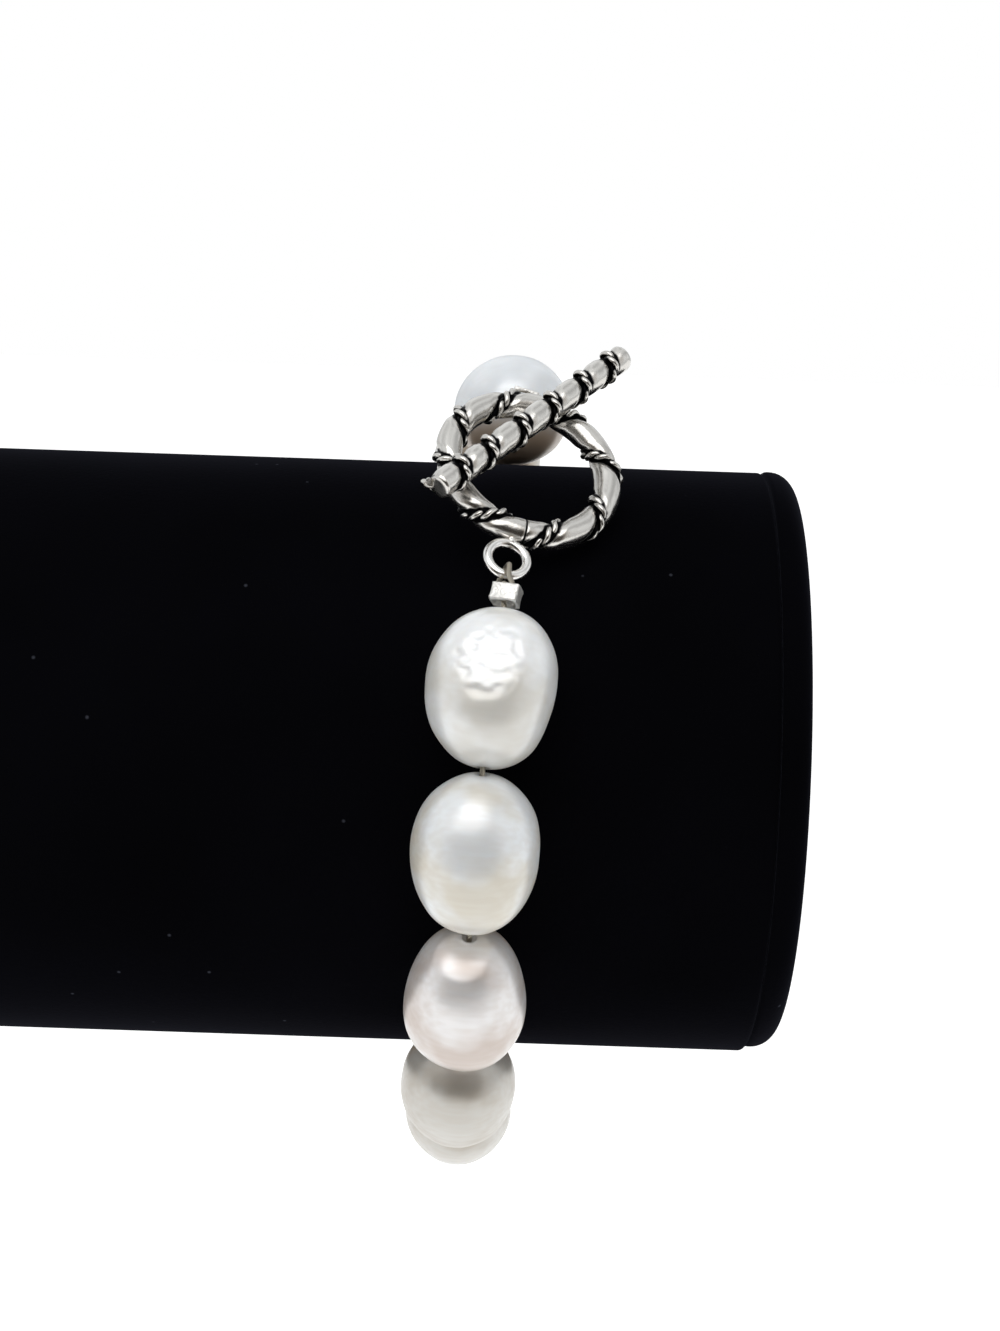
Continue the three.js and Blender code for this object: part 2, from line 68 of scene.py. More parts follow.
def add_node(tree, kind, sockets=None, **properties):
    """A new node. A socket's value may be a number, a colour or another node's output."""
    made = tree.nodes.new(kind)
    for key, value in properties.items():
        setattr(made, key, value)
    for key, value in (sockets or {}).items():
        if isinstance(value, bpy.types.NodeSocket):
            tree.links.new(value, made.inputs[key])
        else:
            made.inputs[key].default_value = value
    return made


def new_material(name):
    """An empty material, and its tree."""
    material = bpy.data.materials.new(name)
    material.use_nodes = True
    material.node_tree.nodes.clear()
    return material, material.node_tree


print("mid grey in linear light:", round(linear("#808080")[0], 3))

# %% [markdown]
# The camera stands 220 mm from the roll's axis and 10 degrees above it, so the
# nearest pearls look a little larger than the roll. The photographer held it
# turned by about two degrees, which tilts the roll in the picture.

# %% Camera
ROLL_LENGTH, ROLL_DIAMETER = 110.0, 52.0
CAMERA_X, CAMERA_DISTANCE, CAMERA_RISE = 84.85, 220.0, math.radians(10)
CAMERA_TURN = 0.033  # radians
IMAGE_HEIGHT, FOCAL_PIXELS, AXIS_ROW = 1331, 2428, 753.5

lens = bpy.data.cameras.new("camera")
lens.lens = lens.sensor_width * FOCAL_PIXELS / IMAGE_HEIGHT
lens.shift_y = (AXIS_ROW - IMAGE_HEIGHT / 2) / IMAGE_HEIGHT
camera = bpy.data.objects.new("camera", lens)
scene.collection.objects.link(camera)
camera.matrix_world = (
    Matrix.Translation(MM * Vector((CAMERA_X, -CAMERA_DISTANCE * math.cos(CAMERA_RISE),
                                    CAMERA_DISTANCE * math.sin(CAMERA_RISE))))
    @ Matrix.Rotation(math.pi / 2 - CAMERA_RISE, 4, "X")
    @ Matrix.Rotation(CAMERA_TURN, 4, "Z"))
scene.camera = camera
print("lens", round(lens.lens, 1), "mm")

# %% [markdown]
# The studio is a white tent: cloth all round that hangs in soft folds, one soft
# box above the front, and the darker side where the photographer stands. Pearls
# are round mirrors under a milky skin, so that darker side gives each its grey
# middle. The backdrop that we see behind the object is plain white.

# %% Studio light
CAMERA_SIDE = Vector((0.0, -1.0, -0.05)).normalized()
TENT, SHADE = 0.84, 0.03
DARK_WITHIN, LIGHT_BEYOND = math.radians(24), math.radians(66)
CLOTH_FOLDS, FOLD_DIM, FOLD_BRIGHT = 2.2, 0.62, 1.22
CLOTH_TINT, SHADE_TINT = (0.965, 0.985, 1.0, 1.0), (1.0, 0.86, 0.72, 1.0)
WHITE = (1.0, 1.0, 1.0, 1.0)

world = bpy.data.worlds.new("white tent")
scene.world = world
world.use_nodes = True
tent = world.node_tree
tent.nodes.clear()
seen = add_node(tent, "ShaderNodeTexCoord").outputs["Generated"]
facing = add_node(
    tent, "ShaderNodeVectorMath", {0: seen, 1: CAMERA_SIDE}, operation="DOT_PRODUCT")
shaded = add_node(tent, "ShaderNodeMapRange", {
    "Value": facing.outputs["Value"], "From Min": math.cos(LIGHT_BEYOND),
    "From Max": math.cos(DARK_WITHIN)}, interpolation_type="SMOOTHSTEP")
folds = add_node(tent, "ShaderNodeTexNoise", {
    "Vector": seen, "Scale": CLOTH_FOLDS, "Detail": 1.0})
cloth_light = add_node(tent, "ShaderNodeMapRange", {
    "Value": folds.outputs["Fac"], "From Min": 0.35, "From Max": 0.65,
    "To Min": FOLD_DIM * TENT, "To Max": FOLD_BRIGHT * TENT})
strength = add_node(tent, "ShaderNodeMapRange", {
    "Value": shaded.outputs["Result"], "To Min": cloth_light.outputs["Result"],
    "To Max": SHADE})
tint = add_node(tent, "ShaderNodeMix", {
    0: shaded.outputs["Result"], 6: CLOTH_TINT, 7: SHADE_TINT}, data_type="RGBA")
dome = add_node(tent, "ShaderNodeBackground", {
    "Color": tint.outputs[2], "Strength": strength.outputs["Result"]})
backdrop = add_node(tent, "ShaderNodeBackground", {"Color": WHITE, "Strength": 1.0})
light_path = add_node(tent, "ShaderNodeLightPath")
both = add_node(tent, "ShaderNodeMixShader", {
    0: light_path.outputs["Is Camera Ray"], 1: dome.outputs[0], 2: backdrop.outputs[0]})
add_node(tent, "ShaderNodeOutputWorld", {"Surface": both.outputs[0]})


def soft_box(name, place, target, width, height, watts):
    """An elliptical area light that looks from place to target, all in mm."""
    lamp = bpy.data.lights.new(name, "AREA")
    lamp.shape, lamp.energy = "ELLIPSE", watts
    lamp.size, lamp.size_y = width * MM, height * MM
    holder = bpy.data.objects.new(name, lamp)
    scene.collection.objects.link(holder)
    aim = (Vector(target) - Vector(place)).to_track_quat("-Z", "Y")
    holder.matrix_world = Matrix.LocRotScale(MM * Vector(place), aim, None)


soft_box("top_box", place=(50, -205, 205), target=(84, -20, 10),
         width=320, height=270, watts=0.37)
scene.view_settings.view_transform = "Standard"

# %% [markdown]
# The floor is a wide sheet of white paper that glows a little, as on a light
# table, so it stays as white as the backdrop.

# %% Floor
FLOOR_DROP, FLOOR_FRONT, FLOOR_SIZE = 130.0, -240.0, 9000.0
left, right, back = -FLOOR_SIZE / 2, FLOOR_SIZE / 2, FLOOR_FRONT + FLOOR_SIZE
sheet_corners = ((left, FLOOR_FRONT), (right, FLOOR_FRONT), (right, back), (left, back))
floor_mesh = bpy.data.meshes.new("floor")
floor_mesh.from_pydata([(MM * x, MM * y, -MM * FLOOR_DROP) for x, y in sheet_corners],
                       [], [(0, 1, 2, 3)])
floor = bpy.data.objects.new("floor", floor_mesh)
scene.collection.objects.link(floor)
paper, paper_tree = new_material("White paper")
sheet = add_node(paper_tree, "ShaderNodeBsdfPrincipled", {
    "Base Color": linear("#F6F6F5"), "Roughness": 0.9, "Specular IOR Level": 0.1,
    "Emission Color": WHITE, "Emission Strength": 0.5})
add_node(paper_tree, "ShaderNodeOutputMaterial", {"Surface": sheet.outputs[0]})
floor_mesh.materials.append(paper)
print("floor at", -FLOOR_DROP, "mm")

# %% [markdown]
# Most pieces here are skins over rings of points: a turned roll, a pearl, a wire.
# So there is one function that stitches rings into faces that look outwards, and
# one that makes the object and tells the frame what the object stands for.

# %% Mesh helpers
def bands(rings, sides, closed=False):
    """Quads between rings of points. Closed joins the last ring to the first."""
    faces = []
    for ring in range(rings if closed else rings - 1):
        here, ahead = ring * sides, (ring + 1) % rings * sides
        for side in range(sides):
            after = (side + 1) % sides
            faces.append((here + side, here + after, ahead + after, ahead + side))
    return faces


def new_piece(name, points, faces, material, attributes=None):
    """A smooth mesh object, from points in mm, with its numbers kept on its points."""
    mesh = bpy.data.meshes.new(name)
    mesh.from_pydata((np.asarray(points) * MM).tolist(), [], faces)
    mesh.materials.append(material)
    for key, values in (attributes or {}).items():
        kind = "FLOAT" if np.ndim(values) == 1 else "FLOAT_VECTOR"
        layer = mesh.attributes.new(key, kind, "POINT")
        layer.data.foreach_set("value" if kind == "FLOAT" else "vector", np.ravel(values))
    mesh.shade_smooth()
    made = bpy.data.objects.new(name, mesh)
    scene.collection.objects.link(made)
    return made


def settle(piece, node):
    """Rides on the one body and stands for its CAD node."""
    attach(piece, "root")
    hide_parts(node)
    print(piece.name, len(piece.data.polygons), "faces, for", node)


def smooth_step(low, high, value):
    """0 up to low, 1 from high on, and a soft rise between them."""
    part = np.clip((np.asarray(value, float) - low) / (high - low), 0.0, 1.0)
    return part * part * (3 - 2 * part)


print("a tube of 3 rings and 8 sides has", len(bands(3, 8)), "faces")

# %% [markdown]
# ## The display roll
#
# It is a card tube with padding, wrapped in black velvet, and each end wears a
# cap whose band folds over the edge. Velvet is a cut pile: the fibres stand up
# and swallow light, and only those that we see from the side glow a little.
# That is a very dark diffuse colour, hardly any gloss, and a thin sheen.
# Lint always sticks to it, so a few specks are part of the likeness.

# %% Velvet
PILE, PILE_RELIEF, LIE = 0.35, 0.08, 18.0
LINT_SPACING, SPECK_EDGE, SPECK_CORE = 4.2, 0.045, 0.015

velvet, tree = new_material("Cut pile velvet")
place = add_node(tree, "ShaderNodeTexCoord").outputs["Object"]
pile = add_node(tree, "ShaderNodeTexNoise", {
    "Vector": place, "Scale": 1 / (PILE * MM), "Detail": 3.0})
lie = add_node(tree, "ShaderNodeTexNoise", {
    "Vector": place, "Scale": 1 / (LIE * MM), "Detail": 2.0})
lint = add_node(tree, "ShaderNodeTexVoronoi", {
    "Vector": place, "Scale": 1 / (LINT_SPACING * MM)})
speck = add_node(tree, "ShaderNodeMapRange", {
    "Value": lint.outputs["Distance"], "From Min": SPECK_EDGE, "From Max": SPECK_CORE,
    "To Max": 0.8})
cloth = add_node(tree, "ShaderNodeMix", {
    0: lie.outputs["Fac"], 6: linear("#040405"), 7: linear("#09090D")}, data_type="RGBA")
dusty = add_node(tree, "ShaderNodeMix", {
    0: speck.outputs["Result"], 6: cloth.outputs[2], 7: linear("#3A3C44")}, data_type="RGBA")
nap = add_node(tree, "ShaderNodeBump", {
    "Height": pile.outputs["Fac"], "Strength": 0.4, "Distance": PILE_RELIEF * MM})
skin = add_node(tree, "ShaderNodeBsdfPrincipled", {
    "Base Color": dusty.outputs[2], "Roughness": 0.95, "Specular IOR Level": 0.0,
    "Sheen Weight": 0.055, "Sheen Roughness": 0.35, "Sheen Tint": linear("#B9BCD6"),
    "Normal": nap.outputs["Normal"]})
add_node(tree, "ShaderNodeOutputMaterial", {"Surface": skin.outputs[0]})
print("velvet pile drawn at", PILE, "mm")

# %% Turned shapes
ROLL_SIDES = 256


def arc(centre, radius, start, end, steps):
    """Profile rows [radius, x] on an arc, by the angle from the roll's end face."""
    angles = np.radians(np.linspace(start, end, steps + 1))
    return [[centre[0] + radius * math.sin(a), centre[1] - radius * math.cos(a)] for a in angles]


def turned_piece(name, profile, material):
    """Turns rows of [radius, x] round the X axis. The rows start and end on the axis."""
    around = np.linspace(0, 2 * math.pi, ROLL_SIDES, endpoint=False)
    rows = profile[1:-1]
    points = [(profile[0][1], 0.0, 0.0), (profile[-1][1], 0.0, 0.0)]
    for radius, x in rows:
        points += [(x, radius * math.cos(a), radius * math.sin(a)) for a in around]
    faces = [tuple(i + 2 for i in face) for face in bands(len(rows), ROLL_SIDES)]
    last = 2 + (len(rows) - 1) * ROLL_SIDES
    for side in range(ROLL_SIDES):
        after = (side + 1) % ROLL_SIDES
        faces += [(0, 2 + after, 2 + side), (1, last + side, last + after)]
    return new_piece(name, points, faces, material)


print("roll drawn with", ROLL_SIDES, "sides")

# %% Roll and caps
CLEARANCE, CAP_BAND, CAP_WALL, CAP_PROUD, CAP_EDGE = 0.3, 2.6, 1.0, 0.1, 2.0
CAP_HEM, CAP_SHRINK, SHRINK_FROM, CAP_FACE_ROWS = 0.4, 0.5, 0.2, (8.0, 16.0)
FOLD, FOLD_GAP, INNER_BEVEL = 0.45, 0.06, 1.0
BODY_ROWS, BODY_ROWS_FROM = 40, 8.0
roll_radius = ROLL_DIAMETER / 2
cap_radius = roll_radius + CAP_PROUD
neck = cap_radius - CAP_WALL - CLEARANCE


def body_profile():
    """The padded roll: necks inside the caps and a soft fold beside each band."""
    start, shoulder = CAP_WALL + CLEARANCE, CAP_BAND + FOLD_GAP
    left = [[0.0, start], [neck - INNER_BEVEL, start], [neck, start + INNER_BEVEL],
            [neck, shoulder]]
    left += arc((roll_radius - FOLD, shoulder + FOLD), FOLD, 0, 90, 5)
    right = [[r, ROLL_LENGTH - x] for r, x in reversed(left)]
    places = np.linspace(BODY_ROWS_FROM, ROLL_LENGTH - BODY_ROWS_FROM, BODY_ROWS)
    return left + [[roll_radius, x] for x in places] + right


def cap_profile():
    """A cap: its end face, the rounded edge, the band and its turned-in hem."""
    inside = cap_radius - CAP_WALL
    rows = [[0.0, 0.0]] + [[radius, 0.0] for radius in CAP_FACE_ROWS]
    rows += arc((cap_radius - CAP_EDGE, CAP_EDGE), CAP_EDGE, 0, 90, 12)
    rows += arc((cap_radius - CAP_HEM, CAP_BAND - CAP_HEM), CAP_HEM, 90, 180, 5)
    return rows + [[inside, CAP_BAND], [inside, CAP_WALL + INNER_BEVEL],
                   [inside - INNER_BEVEL, CAP_WALL], [0.0, CAP_WALL]]


velvet_roll = turned_piece("velvet_roll", body_profile(), velvet)
left_cap = turned_piece("velvet_cap_left", cap_profile(), velvet)
right_cap = turned_piece("velvet_cap_right", cap_profile(), velvet)
for vertex in right_cap.data.vertices:
    vertex.co = (ROLL_LENGTH * MM - vertex.co.x, -vertex.co.y, vertex.co.z)
# The velvet is drawn tighter over the lower half of each cap.
for vertex in [*left_cap.data.vertices, *right_cap.data.vertices]:
    low = float(smooth_step(SHRINK_FROM, 1.0, -vertex.co.z / (cap_radius * MM)))
    vertex.co.z += low * CAP_SHRINK * MM
settle(velvet_roll, "roll_body")
settle(left_cap, "roll_cap_left")
settle(right_cap, "roll_cap_right")

# %% [markdown]
# ## The strand
#
# The pearls follow a loop round the roll. Each lies between two corners of the
# loop, with its drill hole along the line between them. The loop is worked out
# from the same sizes as the CAD, so pearls, wire and clasp land in one place.

# %% Strand
LOOP_X, LOOP_LEAN, LEAN_PHASE, HANG_SLACK = ROLL_LENGTH - 26.4, 1.55, 10.0, 0.6
PEARL_DIAMETER, PEARL_LENGTH, PEARL_GAP = 10.4, 12.6, 0.34
FIRST_EDGE, LAST_EDGE = 59.0, -1.0
CLASP_PULL, BACK_PULLS, LAST_DROP = 0.7, (-3.0, -1.3, 0.8), 0.35
COLUMNS = ("across", "deep", "long", "egg", "blunt", "dent", "dent_at")
PEARLS = [dict(zip(COLUMNS, row)) for row in (
    (1.040, 0.99, 1.012,  0.05, 2.05, 0.10, 0),
    (0.990, 0.98, 1.022,  0.04, 2.08, 0.04, 20),
    (0.950, 0.97, 1.016, -0.10, 2.12, 0.02, 200),
    (0.930, 0.95, 1.008,  0.05, 2.20, 0.04, 320),
    (0.910, 0.94, 1.000, -0.06, 2.30, 0.03, 160),
    (0.950, 0.93, 0.984,  0.10, 2.15, 0.05, 250),
    (0.930, 0.96, 0.976, -0.08, 2.25, 0.03, 90),
    (0.970, 0.95, 0.984,  0.06, 2.20, 0.04, 180),
    (0.950, 0.98, 0.980, -0.12, 2.30, 0.03, 300),
    (0.980, 0.96, 0.984,  0.09, 2.15, 0.05, 60),
    (0.960, 0.97, 0.980, -0.04, 2.25, 0.03, 140),
    (0.990, 0.94, 0.980,  0.10, 2.15, 0.04, 20),
    (1.000, 0.95, 0.980, -0.06, 2.15, 0.02, 270),
)]
strand_angle = 360 - FIRST_EDGE + LAST_EDGE
pitches = [row["long"] * PEARL_LENGTH + PEARL_GAP for row in PEARLS]
half_angle = math.radians(strand_angle / len(PEARLS) / 2)
snug = roll_radius + CLEARANCE + PEARL_DIAMETER / 2


def strand_point(angle):
    """A corner of the strand, at an angle in degrees from the top towards the front."""
    a = math.radians(angle)
    underside = (1 - math.cos(a)) / 2
    radius = (snug + HANG_SLACK * underside ** 2) / math.cos(half_angle)
    lean = LOOP_LEAN * math.cos(math.radians(angle + LEAN_PHASE))
    return Vector((LOOP_X + lean, -radius * math.sin(a), radius * math.cos(a)))


shares = np.cumsum([0.0] + pitches) / sum(pitches)
corners = [strand_point(FIRST_EDGE + strand_angle * share) for share in shares]
corners[0].x += CLASP_PULL
for corner, pull, drop in zip(corners[-3:], BACK_PULLS, (0.0, LAST_DROP, LAST_DROP)):
    corner += Vector((pull, 0.0, -drop))


def along(start, end):
    """Turns +Z into the way from start to end, with +Y away from the roll, at the middle."""
    forward = (end - start).normalized()
    middle = (start + end) / 2
    sideways = Vector((0, middle.y, middle.z)).cross(forward).normalized()
    turn = Matrix((sideways, forward.cross(sideways), forward)).transposed().to_4x4()
    return Matrix.Translation(middle) @ turn


print("pearls:", len(PEARLS), "strand from", tuple(round(c, 1) for c in corners[0]))

# %% [markdown]
# ## Pearls
#
# A freshwater pearl is grown, not made, so no two are alike: each is an egg with
# flats, dents and faint rings. The egg and its dent come from the table, and two
# layers of noise give the skin its soft waves. The first pearl also has a patch
# of wrinkles at the front. A flat is given by the way that it faces, in the
# pearl's own frame, and by the distance in mm from the middle where it starts.

# %% The pearl's skin
WAVE, WAVE_SIZE = 0.022, 4.6
RIPPLE, RIPPLE_SIZE = 0.0080, 1.9
SEED_START, SEED_STEP = Vector((0.0, 0.0, 5.0)), Vector((31.0, 17.0, 0.0))
WRINKLE, WRINKLE_SIZE, WRINKLE_SHARPNESS = 0.026, 0.90, 4
WRINKLE_PLACE, WRINKLE_REACH = Vector((-0.8, 4.9, -1.5)), (1.9, 3.9)
FLATS = {0: ((-0.12, 0.97, -0.20), 4.15), 2: ((-0.10, 0.38, -0.92), 5.50)}
FLAT_SHARE, FLAT_EDGE = 0.50, 0.30


def wrinkled(point, row):
    """How far the skin stands out at a point of the plain egg, as a share of its radius."""
    seed = SEED_START + SEED_STEP * row
    out = WAVE * noise.noise(point / WAVE_SIZE + seed)
    out += RIPPLE * noise.noise(point / RIPPLE_SIZE - seed)
    if row == 0:
        spot = (point - WRINKLE_PLACE).length
        folds = 1 - abs(noise.noise(point / WRINKLE_SIZE)) * WRINKLE_SHARPNESS
        out += WRINKLE * folds * float(1 - smooth_step(*WRINKLE_REACH, spot))
    return out


def flattened(point, row):
    """The point, pressed in where the pearl has a flat."""
    if row in FLATS:
        way, reach = Vector(FLATS[row][0]).normalized(), FLATS[row][1]
        beyond = max(0.0, point.dot(way) - reach)
        point = point - way * FLAT_SHARE * beyond * beyond / (beyond + FLAT_EDGE)
    return point


print("pearls with a flat:", len(FLATS))

# %% Pearl shapes
PEARL_RINGS, PEARL_SIDES = 96, 112
WIRE_DIAMETER, DRILL_PLAY = 0.45, 0.33
SMOOTH_NEAR_HOLE, HOLE_EDGE, SKIN_LENGTHWISE = 0.35, 0.05, 0.5
drill_radius = WIRE_DIAMETER / 2 + DRILL_PLAY


def pearl_piece(name, row, material):
    """A drilled baroque pearl. Its own coordinates stay on its points, for the nacre."""
    shape = PEARLS[row]
    across, deep = shape["across"] * PEARL_DIAMETER, shape["deep"] * PEARL_DIAMETER
    length = shape["long"] * PEARL_LENGTH
    rim = (2 * drill_radius / across) ** (shape["blunt"] / 2)
    local = []
    for polar in np.linspace(rim, math.pi - rim, PEARL_RINGS):
        level = -math.copysign(abs(math.cos(polar)) ** (2 / shape["blunt"]), math.cos(polar))
        belly = math.sin(polar) ** 2
        girth = math.sin(polar) ** (2 / shape["blunt"]) * (1 - shape["egg"] * level * belly)
        from_pole = min(polar, math.pi - polar)
        fade = float(smooth_step(rim, rim + SMOOTH_NEAR_HOLE, from_pole))
        off_hole = float(smooth_step(rim, rim + HOLE_EDGE, from_pole))
        for side in range(PEARL_SIDES):
            angle = 2 * math.pi * side / PEARL_SIDES
            facing = max(0.0, math.cos(angle - math.radians(shape["dent_at"])))
            flat = 1 - shape["dent"] * facing ** 3 * belly
            bare = Vector((girth * across * flat * math.cos(angle) / 2,
                           girth * deep * flat * math.sin(angle) / 2, level * length / 2))
            hole = Vector((drill_radius * math.cos(angle), drill_radius * math.sin(angle), bare.z))
            lift = 1 + fade * wrinkled(bare, row)
            skinned = Vector((bare.x * lift, bare.y * lift,
                              bare.z * (1 + (lift - 1) * SKIN_LENGTHWISE)))
            local.append(hole.lerp(flattened(skinned, row), off_hole))
    place = along(corners[row], corners[row + 1])
    return new_piece(name, [place @ p for p in local], bands(PEARL_RINGS, PEARL_SIDES, True),
                     material, {"pearl_space": np.array([p[:] for p in local])})


print("drill holes are", round(2 * drill_radius, 2), "mm wide")

# %% [markdown]
# Nacre is thousands of clear layers over a milky core. Light enters, scatters and
# comes back soft, and the layers add a broad silky shine. So the material has a
# little subsurface light, some metallic-like shine for the layers, and a clear
# coat. Its tint drifts at random from white to cream or rose over a few
# millimetres, and it also turns from the light tint to the shaded one along the
# pearl's length, which is painted shade. Fine growth lines run slantwise, about
# 0.4 mm apart. The side that lies inward is painted a warm brown, as painted
# shade.

# %% Nacre
GROWTH_LINE, GROWTH_SLANT, GROWTH_STRETCH, GROWTH_RELIEF = 0.42, math.radians(38), 0.10, 0.03
TINT_DRIFT, INNER_FROM, INNER_TO = 4.5, -0.6, -3.2
# The inner tint is painted shade: a warm brown on the side of each pearl that faces the roll.
STREAK_TINT, INNER_PAINTED_SHADE = linear("#BBA893"), linear("#D2B698")


def nacre(name, light, shade, lines, warm, layers=0.42):
    """Nacre from its light and shaded tints. lines is the depth of its growth lines."""
    material, tree = new_material(name)
    inside = add_node(
        tree, "ShaderNodeAttribute", attribute_name="pearl_space").outputs["Vector"]
    drift = add_node(tree, "ShaderNodeTexNoise", {
        "Vector": inside, "Scale": 1 / TINT_DRIFT, "Detail": 2.0})
    parts = add_node(tree, "ShaderNodeSeparateXYZ", {"Vector": inside})
    # The share of the shaded tint is random drift plus painted shade that grows along the pearl's
    # length (+Z).
    lower = add_node(tree, "ShaderNodeMath", {
        0: parts.outputs["Z"], 1: 0.03, 2: drift.outputs["Fac"]}, operation="MULTIPLY_ADD")
    drift_and_painted_shade = add_node(tree, "ShaderNodeMapRange", {
        "Value": lower.outputs[0], "From Min": 0.36, "From Max": 0.68},
        interpolation_type="SMOOTHSTEP")
    body = add_node(tree, "ShaderNodeMix", {
        0: drift_and_painted_shade.outputs["Result"], 6: linear(light), 7: linear(shade)}, data_type="RGBA")
    slant = add_node(tree, "ShaderNodeMapping", {
        "Vector": inside, "Rotation": (0.0, GROWTH_SLANT, 0.0),
        "Scale": (GROWTH_STRETCH, 1.0, 1.0)})
    growth = add_node(tree, "ShaderNodeTexNoise", {
        "Vector": slant.outputs["Vector"], "Scale": 1 / GROWTH_LINE, "Detail": 0.5})
    streaks = add_node(tree, "ShaderNodeMapRange", {
        "Value": growth.outputs["Fac"], "From Min": 0.35, "From Max": 0.65, "To Max": warm})
    toned = add_node(tree, "ShaderNodeMix", {
        0: streaks.outputs["Result"], 6: body.outputs[2], 7: STREAK_TINT}, data_type="RGBA")
    # Painted shade: the inward side (-Y in the pearl's frame) is mixed towards a warm brown.
    inner = add_node(tree, "ShaderNodeMapRange", {
        "Value": parts.outputs["Y"], "From Min": INNER_FROM, "From Max": INNER_TO,
        "To Max": 0.85}, interpolation_type="SMOOTHSTEP")
    grown = add_node(tree, "ShaderNodeMix", {
        0: inner.outputs["Result"], 6: toned.outputs[2], 7: INNER_PAINTED_SHADE}, data_type="RGBA")
    dull = add_node(tree, "ShaderNodeMapRange", {
        "Value": growth.outputs["Fac"], "From Min": 0.3, "From Max": 0.7,
        "To Min": 0.28, "To Max": 0.38})
    relief = add_node(tree, "ShaderNodeBump", {
        "Height": growth.outputs["Fac"], "Strength": lines, "Distance": GROWTH_RELIEF * MM})
    pearl = add_node(tree, "ShaderNodeBsdfPrincipled", {
        "Base Color": grown.outputs[2], "Metallic": layers, "Roughness": dull.outputs["Result"],
        "IOR": 1.56, "Coat Weight": 0.3, "Coat Roughness": 0.24, "Coat IOR": 1.5,
        "Subsurface Weight": 0.25, "Subsurface Scale": 1.2 * MM,
        "Subsurface Radius": (1.0, 0.85, 0.7), "Normal": relief.outputs["Normal"]})
    add_node(tree, "ShaderNodeOutputMaterial", {"Surface": pearl.outputs[0]})
    return material


white_nacre = nacre("White nacre", "#F5F7F8", "#E2E0DA", 0.05, 0.05, 0.24)
cream_nacre = nacre("Cream nacre", "#F0F3F5", "#DDD8CC", 0.12, 0.10, 0.26)
rose_nacre = nacre("Rose nacre", "#ECEAEA", "#D0C4BD", 0.25, 0.12)
silver_nacre = nacre("Silver nacre", "#CBC8C2", "#B5AEA3", 0.12, 0.12)
clear_nacre = nacre("Clear white nacre", "#F2F5F8", "#E6EAEE", 0.05, 0.03, 0.25)

# %% Pearls on the strand
SKINS = [white_nacre, cream_nacre, rose_nacre, silver_nacre, silver_nacre, cream_nacre,
         rose_nacre, white_nacre, cream_nacre, silver_nacre, rose_nacre, cream_nacre,
         clear_nacre]
for row, skin_of_pearl in enumerate(SKINS):
    number = f"{row + 1:02d}"
    pearl = pearl_piece(f"baroque_pearl_{number}", row, skin_of_pearl)
    settle(pearl, f"pearl_{number}")

# %% [markdown]
# ## The clasp's silver
#
# The clasp was dipped in liver of sulphur, which blackens silver, and then
# polished. The polish reaches only the high places, so the grooves beside the
# rope stay black. Each point carries that as a number, patina, from 0 for bright
# to 1 for black, and the metals read it. Eyes, crimps and cable have none.

# %% Metals
PATINA_CLOUD, PATINA_BREAKS, GRAIN_RELIEF = 0.5, 1.3, 0.09
BLACKENED = linear("#0B0B0D")


def worn_metal(name, bright, roughness, grain, grain_size):
    """A metal with polished and blackened places, and the fine grain of its making."""
    material, tree = new_material(name)
    place = add_node(tree, "ShaderNodeTexCoord").outputs["Object"]
    black = add_node(tree, "ShaderNodeAttribute", attribute_name="patina").outputs["Fac"]
    cloud = add_node(tree, "ShaderNodeTexNoise", {
        "Vector": place, "Scale": 1 / (PATINA_CLOUD * MM), "Detail": 4.0})
    broken = add_node(tree, "ShaderNodeMath", {
        0: cloud.outputs["Fac"], 1: 0.5}, operation="SUBTRACT")
    edge = add_node(tree, "ShaderNodeMath", {
        0: broken.outputs[0], 1: PATINA_BREAKS, 2: black}, operation="MULTIPLY_ADD")
    dark = add_node(tree, "ShaderNodeMapRange", {
        "Value": edge.outputs[0], "From Min": 0.3, "From Max": 0.7})
    colour = add_node(tree, "ShaderNodeMix", {
        0: dark.outputs["Result"], 6: linear(bright), 7: BLACKENED}, data_type="RGBA")
    rough = add_node(tree, "ShaderNodeMapRange", {
        "Value": dark.outputs["Result"], "To Min": roughness, "To Max": 0.5})
    fine = add_node(tree, "ShaderNodeTexNoise", {
        "Vector": place, "Scale": 1 / (grain_size * MM), "Detail": 3.0})
    relief = add_node(tree, "ShaderNodeBump", {
        "Height": fine.outputs["Fac"], "Strength": grain, "Distance": GRAIN_RELIEF * MM})
    metal = add_node(tree, "ShaderNodeBsdfPrincipled", {
        "Base Color": colour.outputs[2], "Metallic": 1.0, "Roughness": rough.outputs["Result"],
        "Normal": relief.outputs["Normal"]})
    add_node(tree, "ShaderNodeOutputMaterial", {"Surface": metal.outputs[0]})
    return material


oxidised = worn_metal("Oxidised sterling silver", "#D9D6D1", 0.24, 0.35, 0.8)
plain_silver = worn_metal("Polished sterling silver", "#EFEDEA", 0.20, 0.15, 0.4)
matt_silver = worn_metal("Tumbled silver plate", "#E8E6E2", 0.42, 1.0, 0.2)
steel_cable = worn_metal("Stainless steel cable", "#B7B0A2", 0.32, 0.1, 0.3)
print("metals:", [m.name for m in (oxidised, plain_silver, matt_silver, steel_cable)])

# %% [markdown]
# ## The toggle ring
#
# A thick wire is bent to a ring, wound with a thin rope of two strands, and a
# small eye is soldered on. The rope was pulled tight, so the wire looks as if it
# swells between the wraps. The rope's coil is left-handed.

